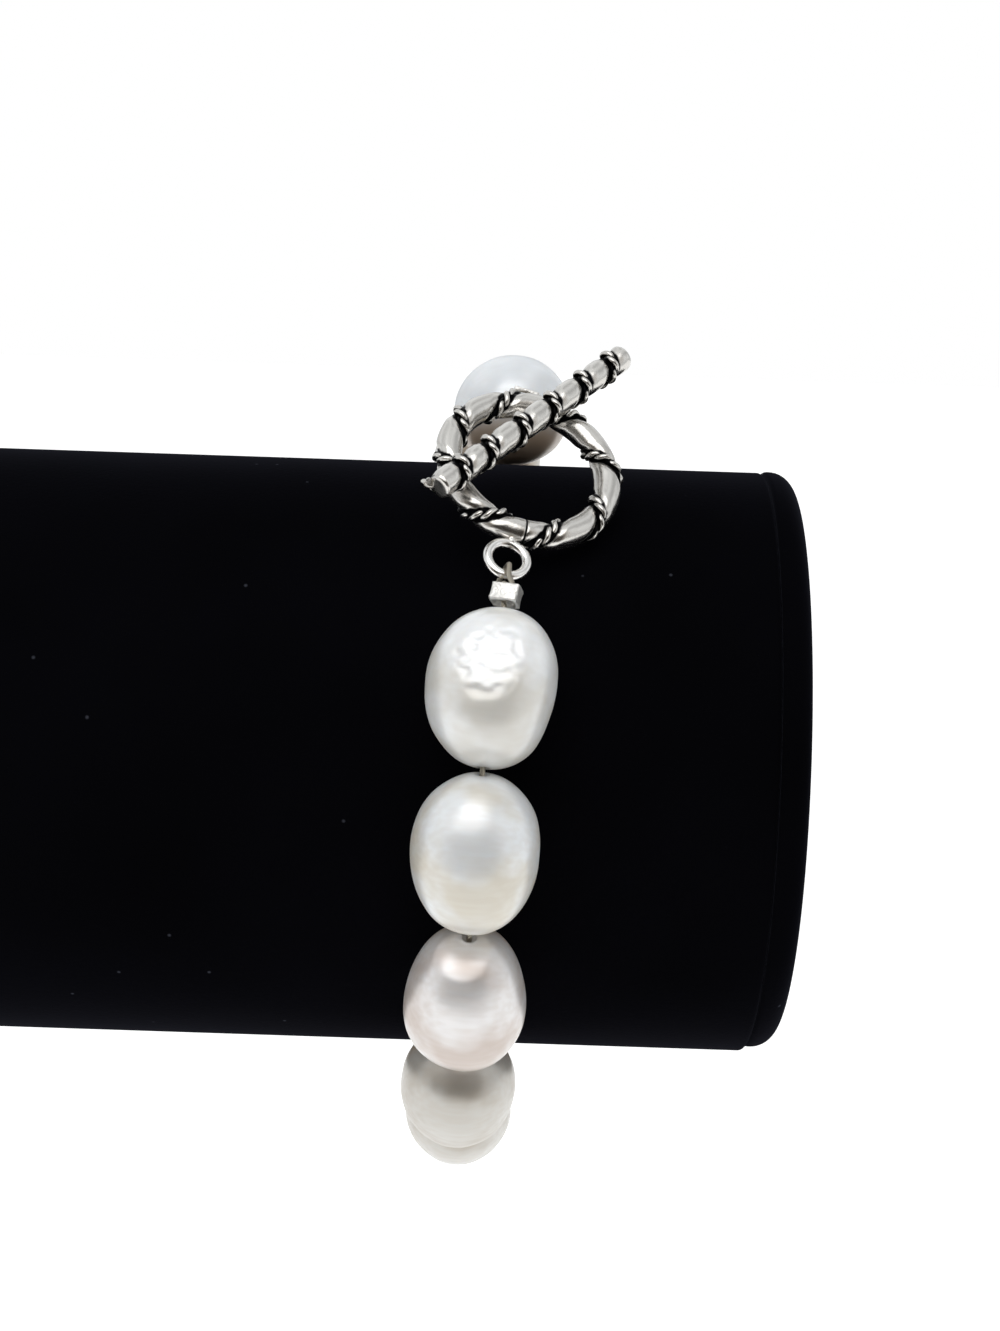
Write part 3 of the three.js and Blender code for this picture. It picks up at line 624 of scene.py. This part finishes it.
# %% Clasp frames
CLASP_WIRE, ROPE_DIAMETER, ROPE_SINK, RING_DIAMETER = 2.0, 0.86, 0.46, 13.7
RING_ANGLE, RING_LIFT, RING_SIDE, RING_LEAN, RING_SKEW = 29.3, 4.45, 2.83, 46.3, 15.3
RING_WRAPS = [-74, -30, 17, 63, 110, 153, 197, 244]
EYE_DIAMETER, EYE_WIRE, EYE_NECK, EYE_PLACE = 3.25, 0.85, 0.1, -99
BAR_LENGTH, BAR_OFF_CENTRE, BAR_PAST_RING = 24.3, 2.15, 3.9
BAR_TURN, BAR_PLAY = 49.9, 0.34
BAR_WRAPS = [0.116, 0.257, 0.427, 0.588, 0.753, 0.905]
BAR_EYE_LEAN, BAR_ROPE_START, BAR_ROPE_OVERRUN, BAR_WRAP_SET = -17.0, -0.75, 0.4, 0.5
ring_radius, wire_radius, eye_radius = RING_DIAMETER / 2, CLASP_WIRE / 2, EYE_DIAMETER / 2
rope_radius = wire_radius + ROPE_DIAMETER / 2 - ROPE_SINK
rope_proud = ROPE_DIAMETER - ROPE_SINK
eye_reach = wire_radius + EYE_NECK + EYE_WIRE / 2 + eye_radius


def turn(degrees, axis):
    """A rotation of that many degrees."""
    return Matrix.Rotation(math.radians(degrees), 4, axis)


centre_radius = roll_radius + RING_LIFT
ring_frame = (
    Matrix.Translation((LOOP_X + RING_SIDE,
                        -centre_radius * math.sin(math.radians(RING_ANGLE)),
                        centre_radius * math.cos(math.radians(RING_ANGLE))))
    @ turn(RING_LEAN, "X") @ turn(RING_SKEW, "Y"))
bar_height = 2 * wire_radius + 2 * rope_proud + BAR_PLAY
bar_foot = math.sqrt(ring_radius ** 2 - BAR_OFF_CENTRE ** 2) + BAR_PAST_RING
bar_frame = (ring_frame @ Matrix.Translation((0, 0, bar_height)) @ turn(BAR_TURN, "Z")
             @ Matrix.Translation((-bar_foot, BAR_OFF_CENTRE, 0)))
print("ring centre", tuple(round(c, 1) for c in ring_frame.translation))


# %% Where the rope runs
def smooth_row(table, at):
    """A value from a table of places, read smoothly between its rows."""
    row = math.floor(at)
    part = at - row
    before, here, ahead, after = (table(row + i) for i in (-1, 0, 1, 2))
    slope_here, slope_ahead = (ahead - before) / 2, (after - here) / 2
    return (here + slope_here * part
            + (3 * (ahead - here) - 2 * slope_here - slope_ahead) * part ** 2
            + (2 * (here - ahead) + slope_here + slope_ahead) * part ** 3)


def ring_wrap(i):
    """The angle of wrap i round the ring, in degrees."""
    return RING_WRAPS[i % len(RING_WRAPS)] + 360 * (i // len(RING_WRAPS))


def bar_wrap(i):
    """The place of wrap i along the bar, as a share of its length."""
    last = len(BAR_WRAPS) - 1
    pitch = (BAR_WRAPS[last] - BAR_WRAPS[0]) / last
    if i < 0:
        return BAR_WRAPS[0] + i * pitch
    return BAR_WRAPS[i] if i <= last else BAR_WRAPS[last] + (i - last) * pitch


def ring_rope_point(turns):
    """The rope's middle round the ring, after that many wraps."""
    around = math.radians(smooth_row(ring_wrap, turns))
    coil = 2 * math.pi * turns + math.pi / 2
    reach = ring_radius + rope_radius * math.cos(coil)
    return Vector((reach * math.cos(around), reach * math.sin(around),
                   rope_radius * math.sin(coil)))


def bar_rope_point(turns):
    """The rope's middle along the bar, after that many wraps."""
    coil = 2 * math.pi * turns + math.pi / 2
    advance = turns - BAR_WRAP_SET * math.sin(2 * math.pi * turns) / (2 * math.pi)
    return Vector((smooth_row(bar_wrap, advance) * BAR_LENGTH,
                   -rope_radius * math.cos(coil), rope_radius * math.sin(coil)))


print("wraps:", len(RING_WRAPS), "on the ring and", len(BAR_WRAPS), "on the bar")

# %% Wound wire
NECK_IN, SWELL = 0.10, 0.23
SEAM_ANGLE, SEAM_DEPTH, SEAM_EDGE = 267.5, 0.05, (0.3, 1.3)
GROOVE, POLISH = (0.35, 1.55), (0.56, 1.10)
RING_STEPS, WIRE_SIDES, RING_TABLE, BAR_TABLE = 480, 48, 600, 500
wire_coils = np.linspace(0, 2 * math.pi, WIRE_SIDES, endpoint=False)


def beside_rope(turns, coil, pitch):
    """Distance in mm along the wire from the nearest wrap, at an angle round the wire."""
    phase = turns - coil / (2 * math.pi)
    return abs(phase - np.round(phase)) * pitch


def wire_skin(distance):
    """The wire's radius and its patina, from the distance to the rope."""
    radius = wire_radius - NECK_IN + SWELL * smooth_step(*GROOVE, distance)
    return radius, 1 - smooth_step(*POLISH, distance)


def wrap_pitch(wrap, turns):
    """The step from wrap to wrap at that many turns, in the unit of the wrap's table."""
    return smooth_row(wrap, turns + 0.5) - smooth_row(wrap, turns - 0.5)


def ring_wire(name):
    """The ring's thick wire, with its swells and the seam where its ends meet."""
    table = np.linspace(-1, len(RING_WRAPS) + 3, RING_TABLE)
    angles = np.array([smooth_row(ring_wrap, t) for t in table])
    points, patina = [], []
    for degrees in np.linspace(0, 360, RING_STEPS, endpoint=False):
        turns = np.interp(degrees, angles, table)
        pitch = math.radians(wrap_pitch(ring_wrap, turns)) * ring_radius
        radius, black = wire_skin(beside_rope(turns, wire_coils - math.pi / 2, pitch))
        seam = 1 - smooth_step(*SEAM_EDGE, abs(degrees - SEAM_ANGLE))
        radius, black = radius - SEAM_DEPTH * seam, np.maximum(black, seam)
        around = math.radians(degrees)
        reach = ring_radius + radius * np.cos(wire_coils)
        points += np.stack([reach * math.cos(around), reach * math.sin(around),
                            radius * np.sin(wire_coils)], axis=1)[::-1].tolist()
        patina += black[::-1].tolist()
    placed = [ring_frame @ Vector(p) for p in points]
    return new_piece(name, placed, bands(RING_STEPS, WIRE_SIDES, True), oxidised,
                     {"patina": np.array(patina)})


settle(ring_wire("toggle_ring_wire"), "toggle_ring")

# %% [markdown]
# The bar is the same wire, sawn off square at one end and rounded at the other.
# Its skin is made of rings along its length in the same way. Beyond the rope the
# wire is plain.

# %% Bar wire
BAR_STEPS, BAR_WEAR, WEAR_ROUND, SAWN_RINGS = 340, 0.2, 0.3, (0.02, 0.45)
BAR_DOME, DOME_ANGLES = 0.75, (15, 30, 45, 60, 72, 82, 89)
GROOVE_OVERRUN, NO_ROPE_NEAR = 0.7, 2.0


def bar_stops():
    """Places along the bar in mm, each with the share of the full radius there."""
    wear, dome = wire_radius * BAR_WEAR, wire_radius * BAR_DOME
    stops = [(0.0, share) for share in (*SAWN_RINGS, 1 - BAR_WEAR)]
    stops += [(wear * WEAR_ROUND, 1 - BAR_WEAR * WEAR_ROUND)]
    stops += [(x, 1.0) for x in np.linspace(wear, BAR_LENGTH - dome, BAR_STEPS)]
    return stops + [(BAR_LENGTH - dome + dome * math.sin(a), math.cos(a))
                    for a in np.radians(DOME_ANGLES)]


def bar_wire(name):
    """The bar's thick wire with its swells, its sawn end and its rounded tip."""
    stops = bar_stops()
    table = np.linspace(-2, len(BAR_WRAPS) + 1, BAR_TABLE)
    places = np.array([smooth_row(bar_wrap, t) for t in table]) * BAR_LENGTH
    rope_coils = wire_coils - math.pi / 2 + BAR_WRAP_SET * np.cos(wire_coils)
    last_turn = len(BAR_WRAPS) - 1 + GROOVE_OVERRUN
    points, patina = [], []
    for x, share in stops:
        turns = np.interp(x, places, table)
        distance = np.full(WIRE_SIDES, NO_ROPE_NEAR)
        if x > 0 and BAR_ROPE_START <= turns <= last_turn:
            distance = beside_rope(turns, rope_coils, wrap_pitch(bar_wrap, turns) * BAR_LENGTH)
        radius, black = wire_skin(distance)
        points += np.stack([np.full(WIRE_SIDES, x), -share * radius * np.cos(wire_coils),
                            share * radius * np.sin(wire_coils)], axis=1)[::-1].tolist()
        patina += black[::-1].tolist()
    faces = bands(len(stops), WIRE_SIDES)
    faces += [tuple(reversed(range(WIRE_SIDES))),
              tuple(range((len(stops) - 1) * WIRE_SIDES, len(stops) * WIRE_SIDES))]
    placed = [bar_frame @ Vector(p) for p in points]
    return new_piece(name, placed, faces, oxidised, {"patina": np.array(patina)})


settle(bar_wire("toggle_bar_wire"), "toggle_bar")

# %% [markdown]
# ## Rope, from Geometry Nodes
#
# A rope repeats along a path, which is what Geometry Nodes do best. The tree
# takes any chain of edges, makes a smooth curve, copies it once for each strand,
# and pushes each copy sideways by an amount that turns as it goes. A negative
# lay gives a left-handed twist. The same tree lays the beading cable.

# %% Rope tree
def rope_tree():
    """The node tree that lays strands along a path."""
    tree = bpy.data.node_groups.new("lay strands", "GeometryNodeTree")
    put = tree.interface.new_socket
    put("Geometry", in_out="INPUT", socket_type="NodeSocketGeometry")
    for name, kind in (("Strands", "Int"), ("Strand diameter", "Float"),
                       ("Spread", "Float"), ("Lay", "Float"), ("Step", "Float"),
                       ("Sides", "Int"), ("Material", "Material")):
        put(name, in_out="INPUT", socket_type="NodeSocket" + kind)
    put("Geometry", in_out="OUTPUT", socket_type="NodeSocketGeometry")
    given = add_node(tree, "NodeGroupInput").outputs
    path = add_node(tree, "GeometryNodeMeshToCurve", {"Mesh": given["Geometry"]})
    even = add_node(tree, "GeometryNodeResampleCurve", {
        "Curve": path.outputs[0], "Length": given["Step"]}, mode="LENGTH")
    copies = add_node(tree, "GeometryNodeDuplicateElements", {
        "Geometry": even.outputs[0], "Amount": given["Strands"]}, domain="SPLINE")
    length = add_node(tree, "GeometryNodeSplineParameter").outputs["Length"]
    wound = add_node(tree, "ShaderNodeMath", {0: length, 1: given["Lay"]}, operation="DIVIDE")
    share = add_node(tree, "ShaderNodeMath", {
        0: copies.outputs["Duplicate Index"], 1: given["Strands"]}, operation="DIVIDE")
    turns = add_node(tree, "ShaderNodeMath", {
        0: wound.outputs[0], 1: share.outputs[0]}, operation="ADD")
    angle = add_node(tree, "ShaderNodeMath", {
        0: turns.outputs[0], 1: 2 * math.pi}, operation="MULTIPLY")
    ahead = add_node(tree, "GeometryNodeInputTangent").outputs[0]
    side = add_node(tree, "GeometryNodeInputNormal").outputs[0]
    aside = add_node(tree, "ShaderNodeVectorMath", {
        0: side, "Scale": given["Spread"]}, operation="SCALE")
    pushed = add_node(tree, "ShaderNodeVectorRotate", {
        "Vector": aside.outputs[0], "Axis": ahead, "Angle": angle.outputs[0]},
        rotation_type="AXIS_ANGLE")
    laid = add_node(tree, "GeometryNodeSetPosition", {
        "Geometry": copies.outputs[0], "Offset": pushed.outputs[0]})
    radius = add_node(tree, "ShaderNodeMath", {
        0: given["Strand diameter"], 1: 0.5}, operation="MULTIPLY")
    section = add_node(tree, "GeometryNodeCurvePrimitiveCircle", {
        "Resolution": given["Sides"], "Radius": radius.outputs[0]})
    skin = add_node(tree, "GeometryNodeCurveToMesh", {
        "Curve": laid.outputs[0], "Profile Curve": section.outputs[0], "Fill Caps": True})
    soft = add_node(tree, "GeometryNodeSetShadeSmooth", {"Geometry": skin.outputs[0]})
    real = add_node(tree, "GeometryNodeRealizeInstances", {"Geometry": soft.outputs[0]})
    dressed = add_node(tree, "GeometryNodeSetMaterial", {
        "Geometry": real.outputs[0], "Material": given["Material"]})
    add_node(tree, "NodeGroupOutput", {"Geometry": dressed.outputs[0]})
    return tree


lay_strands = rope_tree()
print("rope tree:", len(lay_strands.nodes), "nodes")


# %% Rope along a path
def path_length(points, closed):
    """The length of a chain of points."""
    ends = points[1:] + points[:1] if closed else points[1:]
    return sum((b - a).length for a, b in zip(points, ends))


def laid_rope(name, points, material, closed=False, **sizes):
    """Strands along points in mm, as a plain mesh. Sizes name the tree's inputs, in mm."""
    count = len(points)
    edges = [(i, (i + 1) % count) for i in range(count if closed else count - 1)]
    mesh = bpy.data.meshes.new(name)
    mesh.from_pydata([(p * MM)[:] for p in points], edges, [])
    made = bpy.data.objects.new(name, mesh)
    scene.collection.objects.link(made)
    layer = made.modifiers.new("lay strands", "NODES")
    layer.node_group = lay_strands
    values = {key.replace("_", " ").capitalize(): value for key, value in sizes.items()}
    for socket in lay_strands.interface.items_tree:
        if socket.in_out == "INPUT" and socket.name in values:
            value = values[socket.name]
            layer[socket.identifier] = value if isinstance(value, int) else value * MM
        elif socket.name == "Material":
            layer[socket.identifier] = material
    ready = made.evaluated_get(bpy.context.evaluated_depsgraph_get())
    plain = bpy.data.meshes.new_from_object(ready)
    made.modifiers.remove(layer)
    made.data = plain
    bpy.data.meshes.remove(mesh)
    plain.name = name
    return made


def add_patina(piece, values):
    """Keeps one patina number on each point of a finished mesh."""
    layer = piece.data.attributes.new("patina", "FLOAT", "POINT")
    layer.data.foreach_set("value", np.asarray(values, dtype=np.float32))


def points_of(piece):
    """The piece's points in mm, one row each."""
    flat = np.empty(len(piece.data.vertices) * 3)
    piece.data.vertices.foreach_get("co", flat)
    return flat.reshape(-1, 3) / MM


# %% Ropes of the clasp
STRAND, LAY, PATH_STEPS = 0.45, 2.1, 64
BRIGHT_FROM, BLACK_TO, BARE_END = 1.26, 1.10, 0.8
CLASP_ROPE = dict(strands=2, strand_diameter=STRAND, spread=(ROPE_DIAMETER - STRAND) / 2,
                  step=0.1, sides=10)


def rope_patina(piece, frame_of_part, is_ring):
    """Black low down beside the thick wire, and bright on the strands' tops."""
    inverse = np.array(frame_of_part.inverted())
    local = points_of(piece) @ inverse[:3, :3].T + inverse[:3, 3]
    if is_ring:
        sideways = np.hypot(local[:, 0], local[:, 1]) - ring_radius
        depth = np.hypot(sideways, local[:, 2])
    else:
        depth = np.hypot(local[:, 1], local[:, 2])
        depth = np.where(local[:, 0] < BARE_END, BRIGHT_FROM, depth)
    add_patina(piece, 1 - smooth_step(BLACK_TO, BRIGHT_FROM, depth))


ring_steps = len(RING_WRAPS) * PATH_STEPS
ring_path = [ring_frame @ ring_rope_point(i / PATH_STEPS) for i in range(ring_steps)]
ring_length = path_length(ring_path, True)
ring_rope = laid_rope("toggle_ring_rope", ring_path, oxidised, closed=True,
                      lay=-ring_length / round(ring_length / LAY), **CLASP_ROPE)
rope_patina(ring_rope, ring_frame, True)
settle(ring_rope, "toggle_ring")

rope_end = len(BAR_WRAPS) - 1 + BAR_ROPE_OVERRUN
bar_turns = np.arange(BAR_ROPE_START, rope_end, 1 / PATH_STEPS)
bar_path = [bar_frame @ bar_rope_point(t) for t in bar_turns]
bar_rope = laid_rope("toggle_bar_rope", bar_path, oxidised, lay=-LAY, **CLASP_ROPE)
rope_patina(bar_rope, bar_frame, False)
settle(bar_rope, "toggle_bar")

# %% Small eyes
EYE_STEPS, EYE_SIDES, STUB_RINGS, STUB_FLARE = 96, 24, 12, 0.12


def small_eye(name, place, node):
    """A closed eye of plain wire on its stub of solder, at -Y of its own frame."""
    coils = np.linspace(0, 2 * math.pi, EYE_SIDES, endpoint=False)
    points = []
    for around in np.linspace(0, 2 * math.pi, EYE_STEPS, endpoint=False):
        reach = eye_radius + EYE_WIRE / 2 * np.cos(coils)
        points += np.stack([reach * math.cos(around), reach * math.sin(around) - eye_reach,
                            EYE_WIRE / 2 * np.sin(coils)], axis=1)[::-1].tolist()
    faces = bands(EYE_STEPS, EYE_SIDES, True)
    first = len(points)
    stub = eye_reach - eye_radius
    for y in np.linspace(0, -stub, STUB_RINGS):
        near = min(abs(y), abs(y + stub))
        waist = EYE_WIRE / 2 * (1.0 + STUB_FLARE * math.cos(math.pi * near / stub))
        points += [(waist * math.cos(a), y, waist * math.sin(a)) for a in coils]
    last = first + (STUB_RINGS - 1) * EYE_SIDES
    faces += [tuple(first + i for i in face) for face in bands(STUB_RINGS, EYE_SIDES)]
    faces += [tuple(first + i for i in reversed(range(EYE_SIDES))),
              tuple(last + i for i in range(EYE_SIDES))]
    made = new_piece(name, [place @ Vector(p) for p in points], faces, plain_silver,
                     {"patina": np.zeros(len(points))})
    settle(made, node)


ring_eye_frame = (ring_frame @ turn(EYE_PLACE + 90, "Z")
                  @ Matrix.Translation((0, -ring_radius, 0)))
bar_eye_frame = (bar_frame @ Matrix.Translation((BAR_LENGTH / 2, 0, 0))
                 @ turn(90 - BAR_EYE_LEAN, "X"))
small_eye("toggle_ring_eye", ring_eye_frame, "toggle_ring")
small_eye("toggle_bar_eye", bar_eye_frame, "toggle_bar")

# %% [markdown]
# ## Crimps and beading cable
#
# A square crimp is a short tube that pliers have squeezed onto both legs of the
# wire loop. The cable is seven fine steel wires laid together, which is why it
# bends softly and shows a fine twist. Six of them go round the seventh and hide
# it, so those six are built.

# %% Crimps
CRIMP_WIDTH, CRIMP_DEPTH, CRIMP_HEIGHT = 2.3, 1.75, 1.5
CRIMP_SEAT, CRIMP_TURN, CRIMP_TILT, CRIMP_PULL = 0.2, -15.0, -8.0, 0.25
LEG_SPACING, CRIMP_SIDES, CRIMP_CORNER = 0.62, 64, 0.16
CRIMP_EDGE, EDGE_SHAPE = 0.12, ((0.0, 1.0), (0.4, 0.3), (1.0, 0.0))
WAIST, WAIST_SPAN, WAIST_RINGS = 0.03, 0.7, 7
DENT_DEPTH, DENT_SIZE = 0.05, 0.8
DENT_SEEDS = [Vector((seed, 2 * seed, 3 * seed)) for seed in (11.0, 23.0, 37.0)]


def dent_way(point):
    """Which way and how far the skin is dented at a point, the same in each run."""
    return Vector([noise.noise(point + seed) for seed in DENT_SEEDS])


def rounded_box_ring(half_wide, half_deep, corner):
    """Points round a rounded rectangle, starting at +X."""
    ring = []
    for i in range(CRIMP_SIDES):
        a = 2 * math.pi * (i + 0.5) / CRIMP_SIDES
        x, y = math.cos(a), math.sin(a)
        scale = 1 / max(abs(x) / (half_wide - corner), abs(y) / (half_deep - corner))
        ring.append(Vector((x * scale + corner * x, y * scale + corner * y)))
    return ring


def slot_ring():
    """Points round the oblong hole for both legs of the loop."""
    radius, reach = WIRE_DIAMETER / 2 + CLEARANCE, LEG_SPACING / 2
    angles = [2 * math.pi * (i + 0.5) / CRIMP_SIDES for i in range(CRIMP_SIDES)]
    return [Vector((math.copysign(reach, math.cos(a)) + radius * math.cos(a),
                    radius * math.sin(a))) for a in angles]


def crimp_frame(end, away):
    """The crimp's place on a pearl's end, turned about the string."""
    start = end + away * CRIMP_SEAT
    straight = along(start, start + away * CRIMP_HEIGHT)
    return straight @ turn(CRIMP_TILT, "Y") @ turn(CRIMP_TURN, "Z")


def crimp_piece(name, place, node):
    """A squeezed square crimp: rounded edges, slightly waisted, and its oblong hole."""
    half = CRIMP_HEIGHT / 2
    inner = slot_ring()
    edge = [(rise * CRIMP_EDGE, inset * CRIMP_EDGE) for rise, inset in EDGE_SHAPE]
    levels = [(-half + rise, inset) for rise, inset in edge]
    levels += [(z, WAIST * math.cos(z / half * math.pi / 2))
               for z in np.linspace(-half * WAIST_SPAN, half * WAIST_SPAN, WAIST_RINGS)]
    levels += [(half - rise, inset) for rise, inset in reversed(edge)]
    rings = [[(p.x, p.y, -half) for p in inner]]
    for z, inset in levels:
        outline = rounded_box_ring(CRIMP_WIDTH / 2 - inset, CRIMP_DEPTH / 2 - inset, CRIMP_CORNER)
        rings.append([(p.x, p.y, z) for p in outline])
    rings += [[(p.x, p.y, half) for p in inner]]
    points = [place @ Vector(p) for ring in rings for p in ring]
    dented = [p + DENT_DEPTH * dent_way(p / DENT_SIZE) for p in points]
    made = new_piece(name, dented, bands(len(rings), CRIMP_SIDES, True), matt_silver,
                     {"patina": np.zeros(len(points))})
    settle(made, node)


def unit(vector):
    """The same way, one long."""
    return vector.normalized()


eye_far_wire = eye_reach + eye_radius
front_hook = ring_eye_frame @ Vector((0, -eye_far_wire, 0))
along_front = unit(ring_eye_frame.to_3x3() @ Vector((1, 0, 0)))
bar_hook = bar_eye_frame @ Vector((0, -eye_far_wire, 0))
along_bar = -unit(bar_frame.to_3x3() @ Vector((1, 0, 0)))
last_corner = corners[-1]
front_lean = unit(unit(corners[0] - corners[1]).lerp(unit(front_hook - corners[0]), CRIMP_PULL))
back_lean = unit(unit(last_corner - corners[-2]).lerp(unit(bar_hook - last_corner), CRIMP_PULL))
front_crimp = crimp_frame(corners[0], front_lean)
back_crimp = crimp_frame(last_corner, back_lean)
crimp_piece("front_crimp", front_crimp, "crimp_front")
crimp_piece("back_crimp", back_crimp, "crimp_back")

# %% The cable's way
LEG_GAP, HOOK_STEPS = 0.8, 6
FRONT_SPREAD, FRONT_SIDE, BACK_SPREAD, BACK_SIDE = -0.15, -0.15, 0.05, 0.4


def hook_path(crimp, hook, waypoint, eye_along, spread, aside):
    """One end of the string: through the crimp, round the eye's wire and back."""
    over = unit(eye_along.cross(waypoint - hook))
    pull = over.cross(eye_along)
    bend = EYE_WIRE / 2 + CLEARANCE + WIRE_DIAMETER / 2
    half_gap = over * (LEG_GAP / 2) + eye_along * aside
    leg = LEG_SPACING / 2
    top = CRIMP_HEIGHT / 2 + leg
    turns = [math.pi * step / HOOK_STEPS for step in range(HOOK_STEPS + 1)]
    loop = [hook + over * bend * math.cos(a) - pull * bend * math.sin(a)
            + eye_along * spread * math.cos(a) for a in turns]
    start = [crimp @ Vector(p) for p in ((0, 0, -CRIMP_HEIGHT / 2), (leg, 0, 0), (leg, 0, top))]
    back = [crimp @ Vector(p) for p in ((-leg, 0, top), (-leg, 0, 0))]
    return start + [waypoint + half_gap, *loop, waypoint - half_gap] + back


front_waypoint = front_hook.lerp(corners[0] + front_lean * (CRIMP_SEAT + CRIMP_HEIGHT), 0.5)
in_ring = ring_frame.inverted() @ last_corner
under_ring = Vector((in_ring.x, in_ring.y, 0)).normalized() * ring_radius
under_ring.z = -wire_radius - rope_proud - 3 * CLEARANCE - WIRE_DIAMETER
back_waypoint = ring_frame @ under_ring
corner_cut = PEARL_GAP / (sum(pitches) / len(PEARLS))
cable_path = hook_path(
    front_crimp, front_hook, front_waypoint, along_front, FRONT_SPREAD, FRONT_SIDE)[::-1]
cable_path.append(corners[0].lerp(corners[1], corner_cut))
for before, corner, after in zip(corners, corners[1:], corners[2:]):
    cable_path += [corner.lerp(before, corner_cut / 2), corner.lerp(after, corner_cut / 2)]
cable_path.append(last_corner.lerp(corners[-2], corner_cut))
cable_path += hook_path(
    back_crimp, bar_hook, back_waypoint, along_bar, BACK_SPREAD, BACK_SIDE)
print("cable's way:", len(cable_path), "points")

# %% Beading cable
CABLE_WIRE, CABLE_LAY = 0.155, 1.7
SOFTENINGS, CUT_SHARE, CUT_LENGTH, SHORTEST = 3, 0.25, 0.35, 1e-6


def rounded_path(points, rounds):
    """Cuts each corner of a path again and again, so that a wire bends softly."""
    for _ in range(rounds):
        soft = [points[0]]
        for a, b in zip(points, points[1:]):
            step = min(CUT_SHARE, CUT_LENGTH / max((b - a).length, SHORTEST))
            soft += [a.lerp(b, step), b.lerp(a, step)]
        points = soft + [points[-1]]
    return points


cable = laid_rope("beading_cable", rounded_path(cable_path, SOFTENINGS), steel_cable, strands=6,
                  strand_diameter=CABLE_WIRE, spread=(WIRE_DIAMETER - CABLE_WIRE) / 2,
                  lay=CABLE_LAY, step=0.12, sides=6)
add_patina(cable, np.zeros(len(cable.data.vertices)))
settle(cable, "stringing_wire")
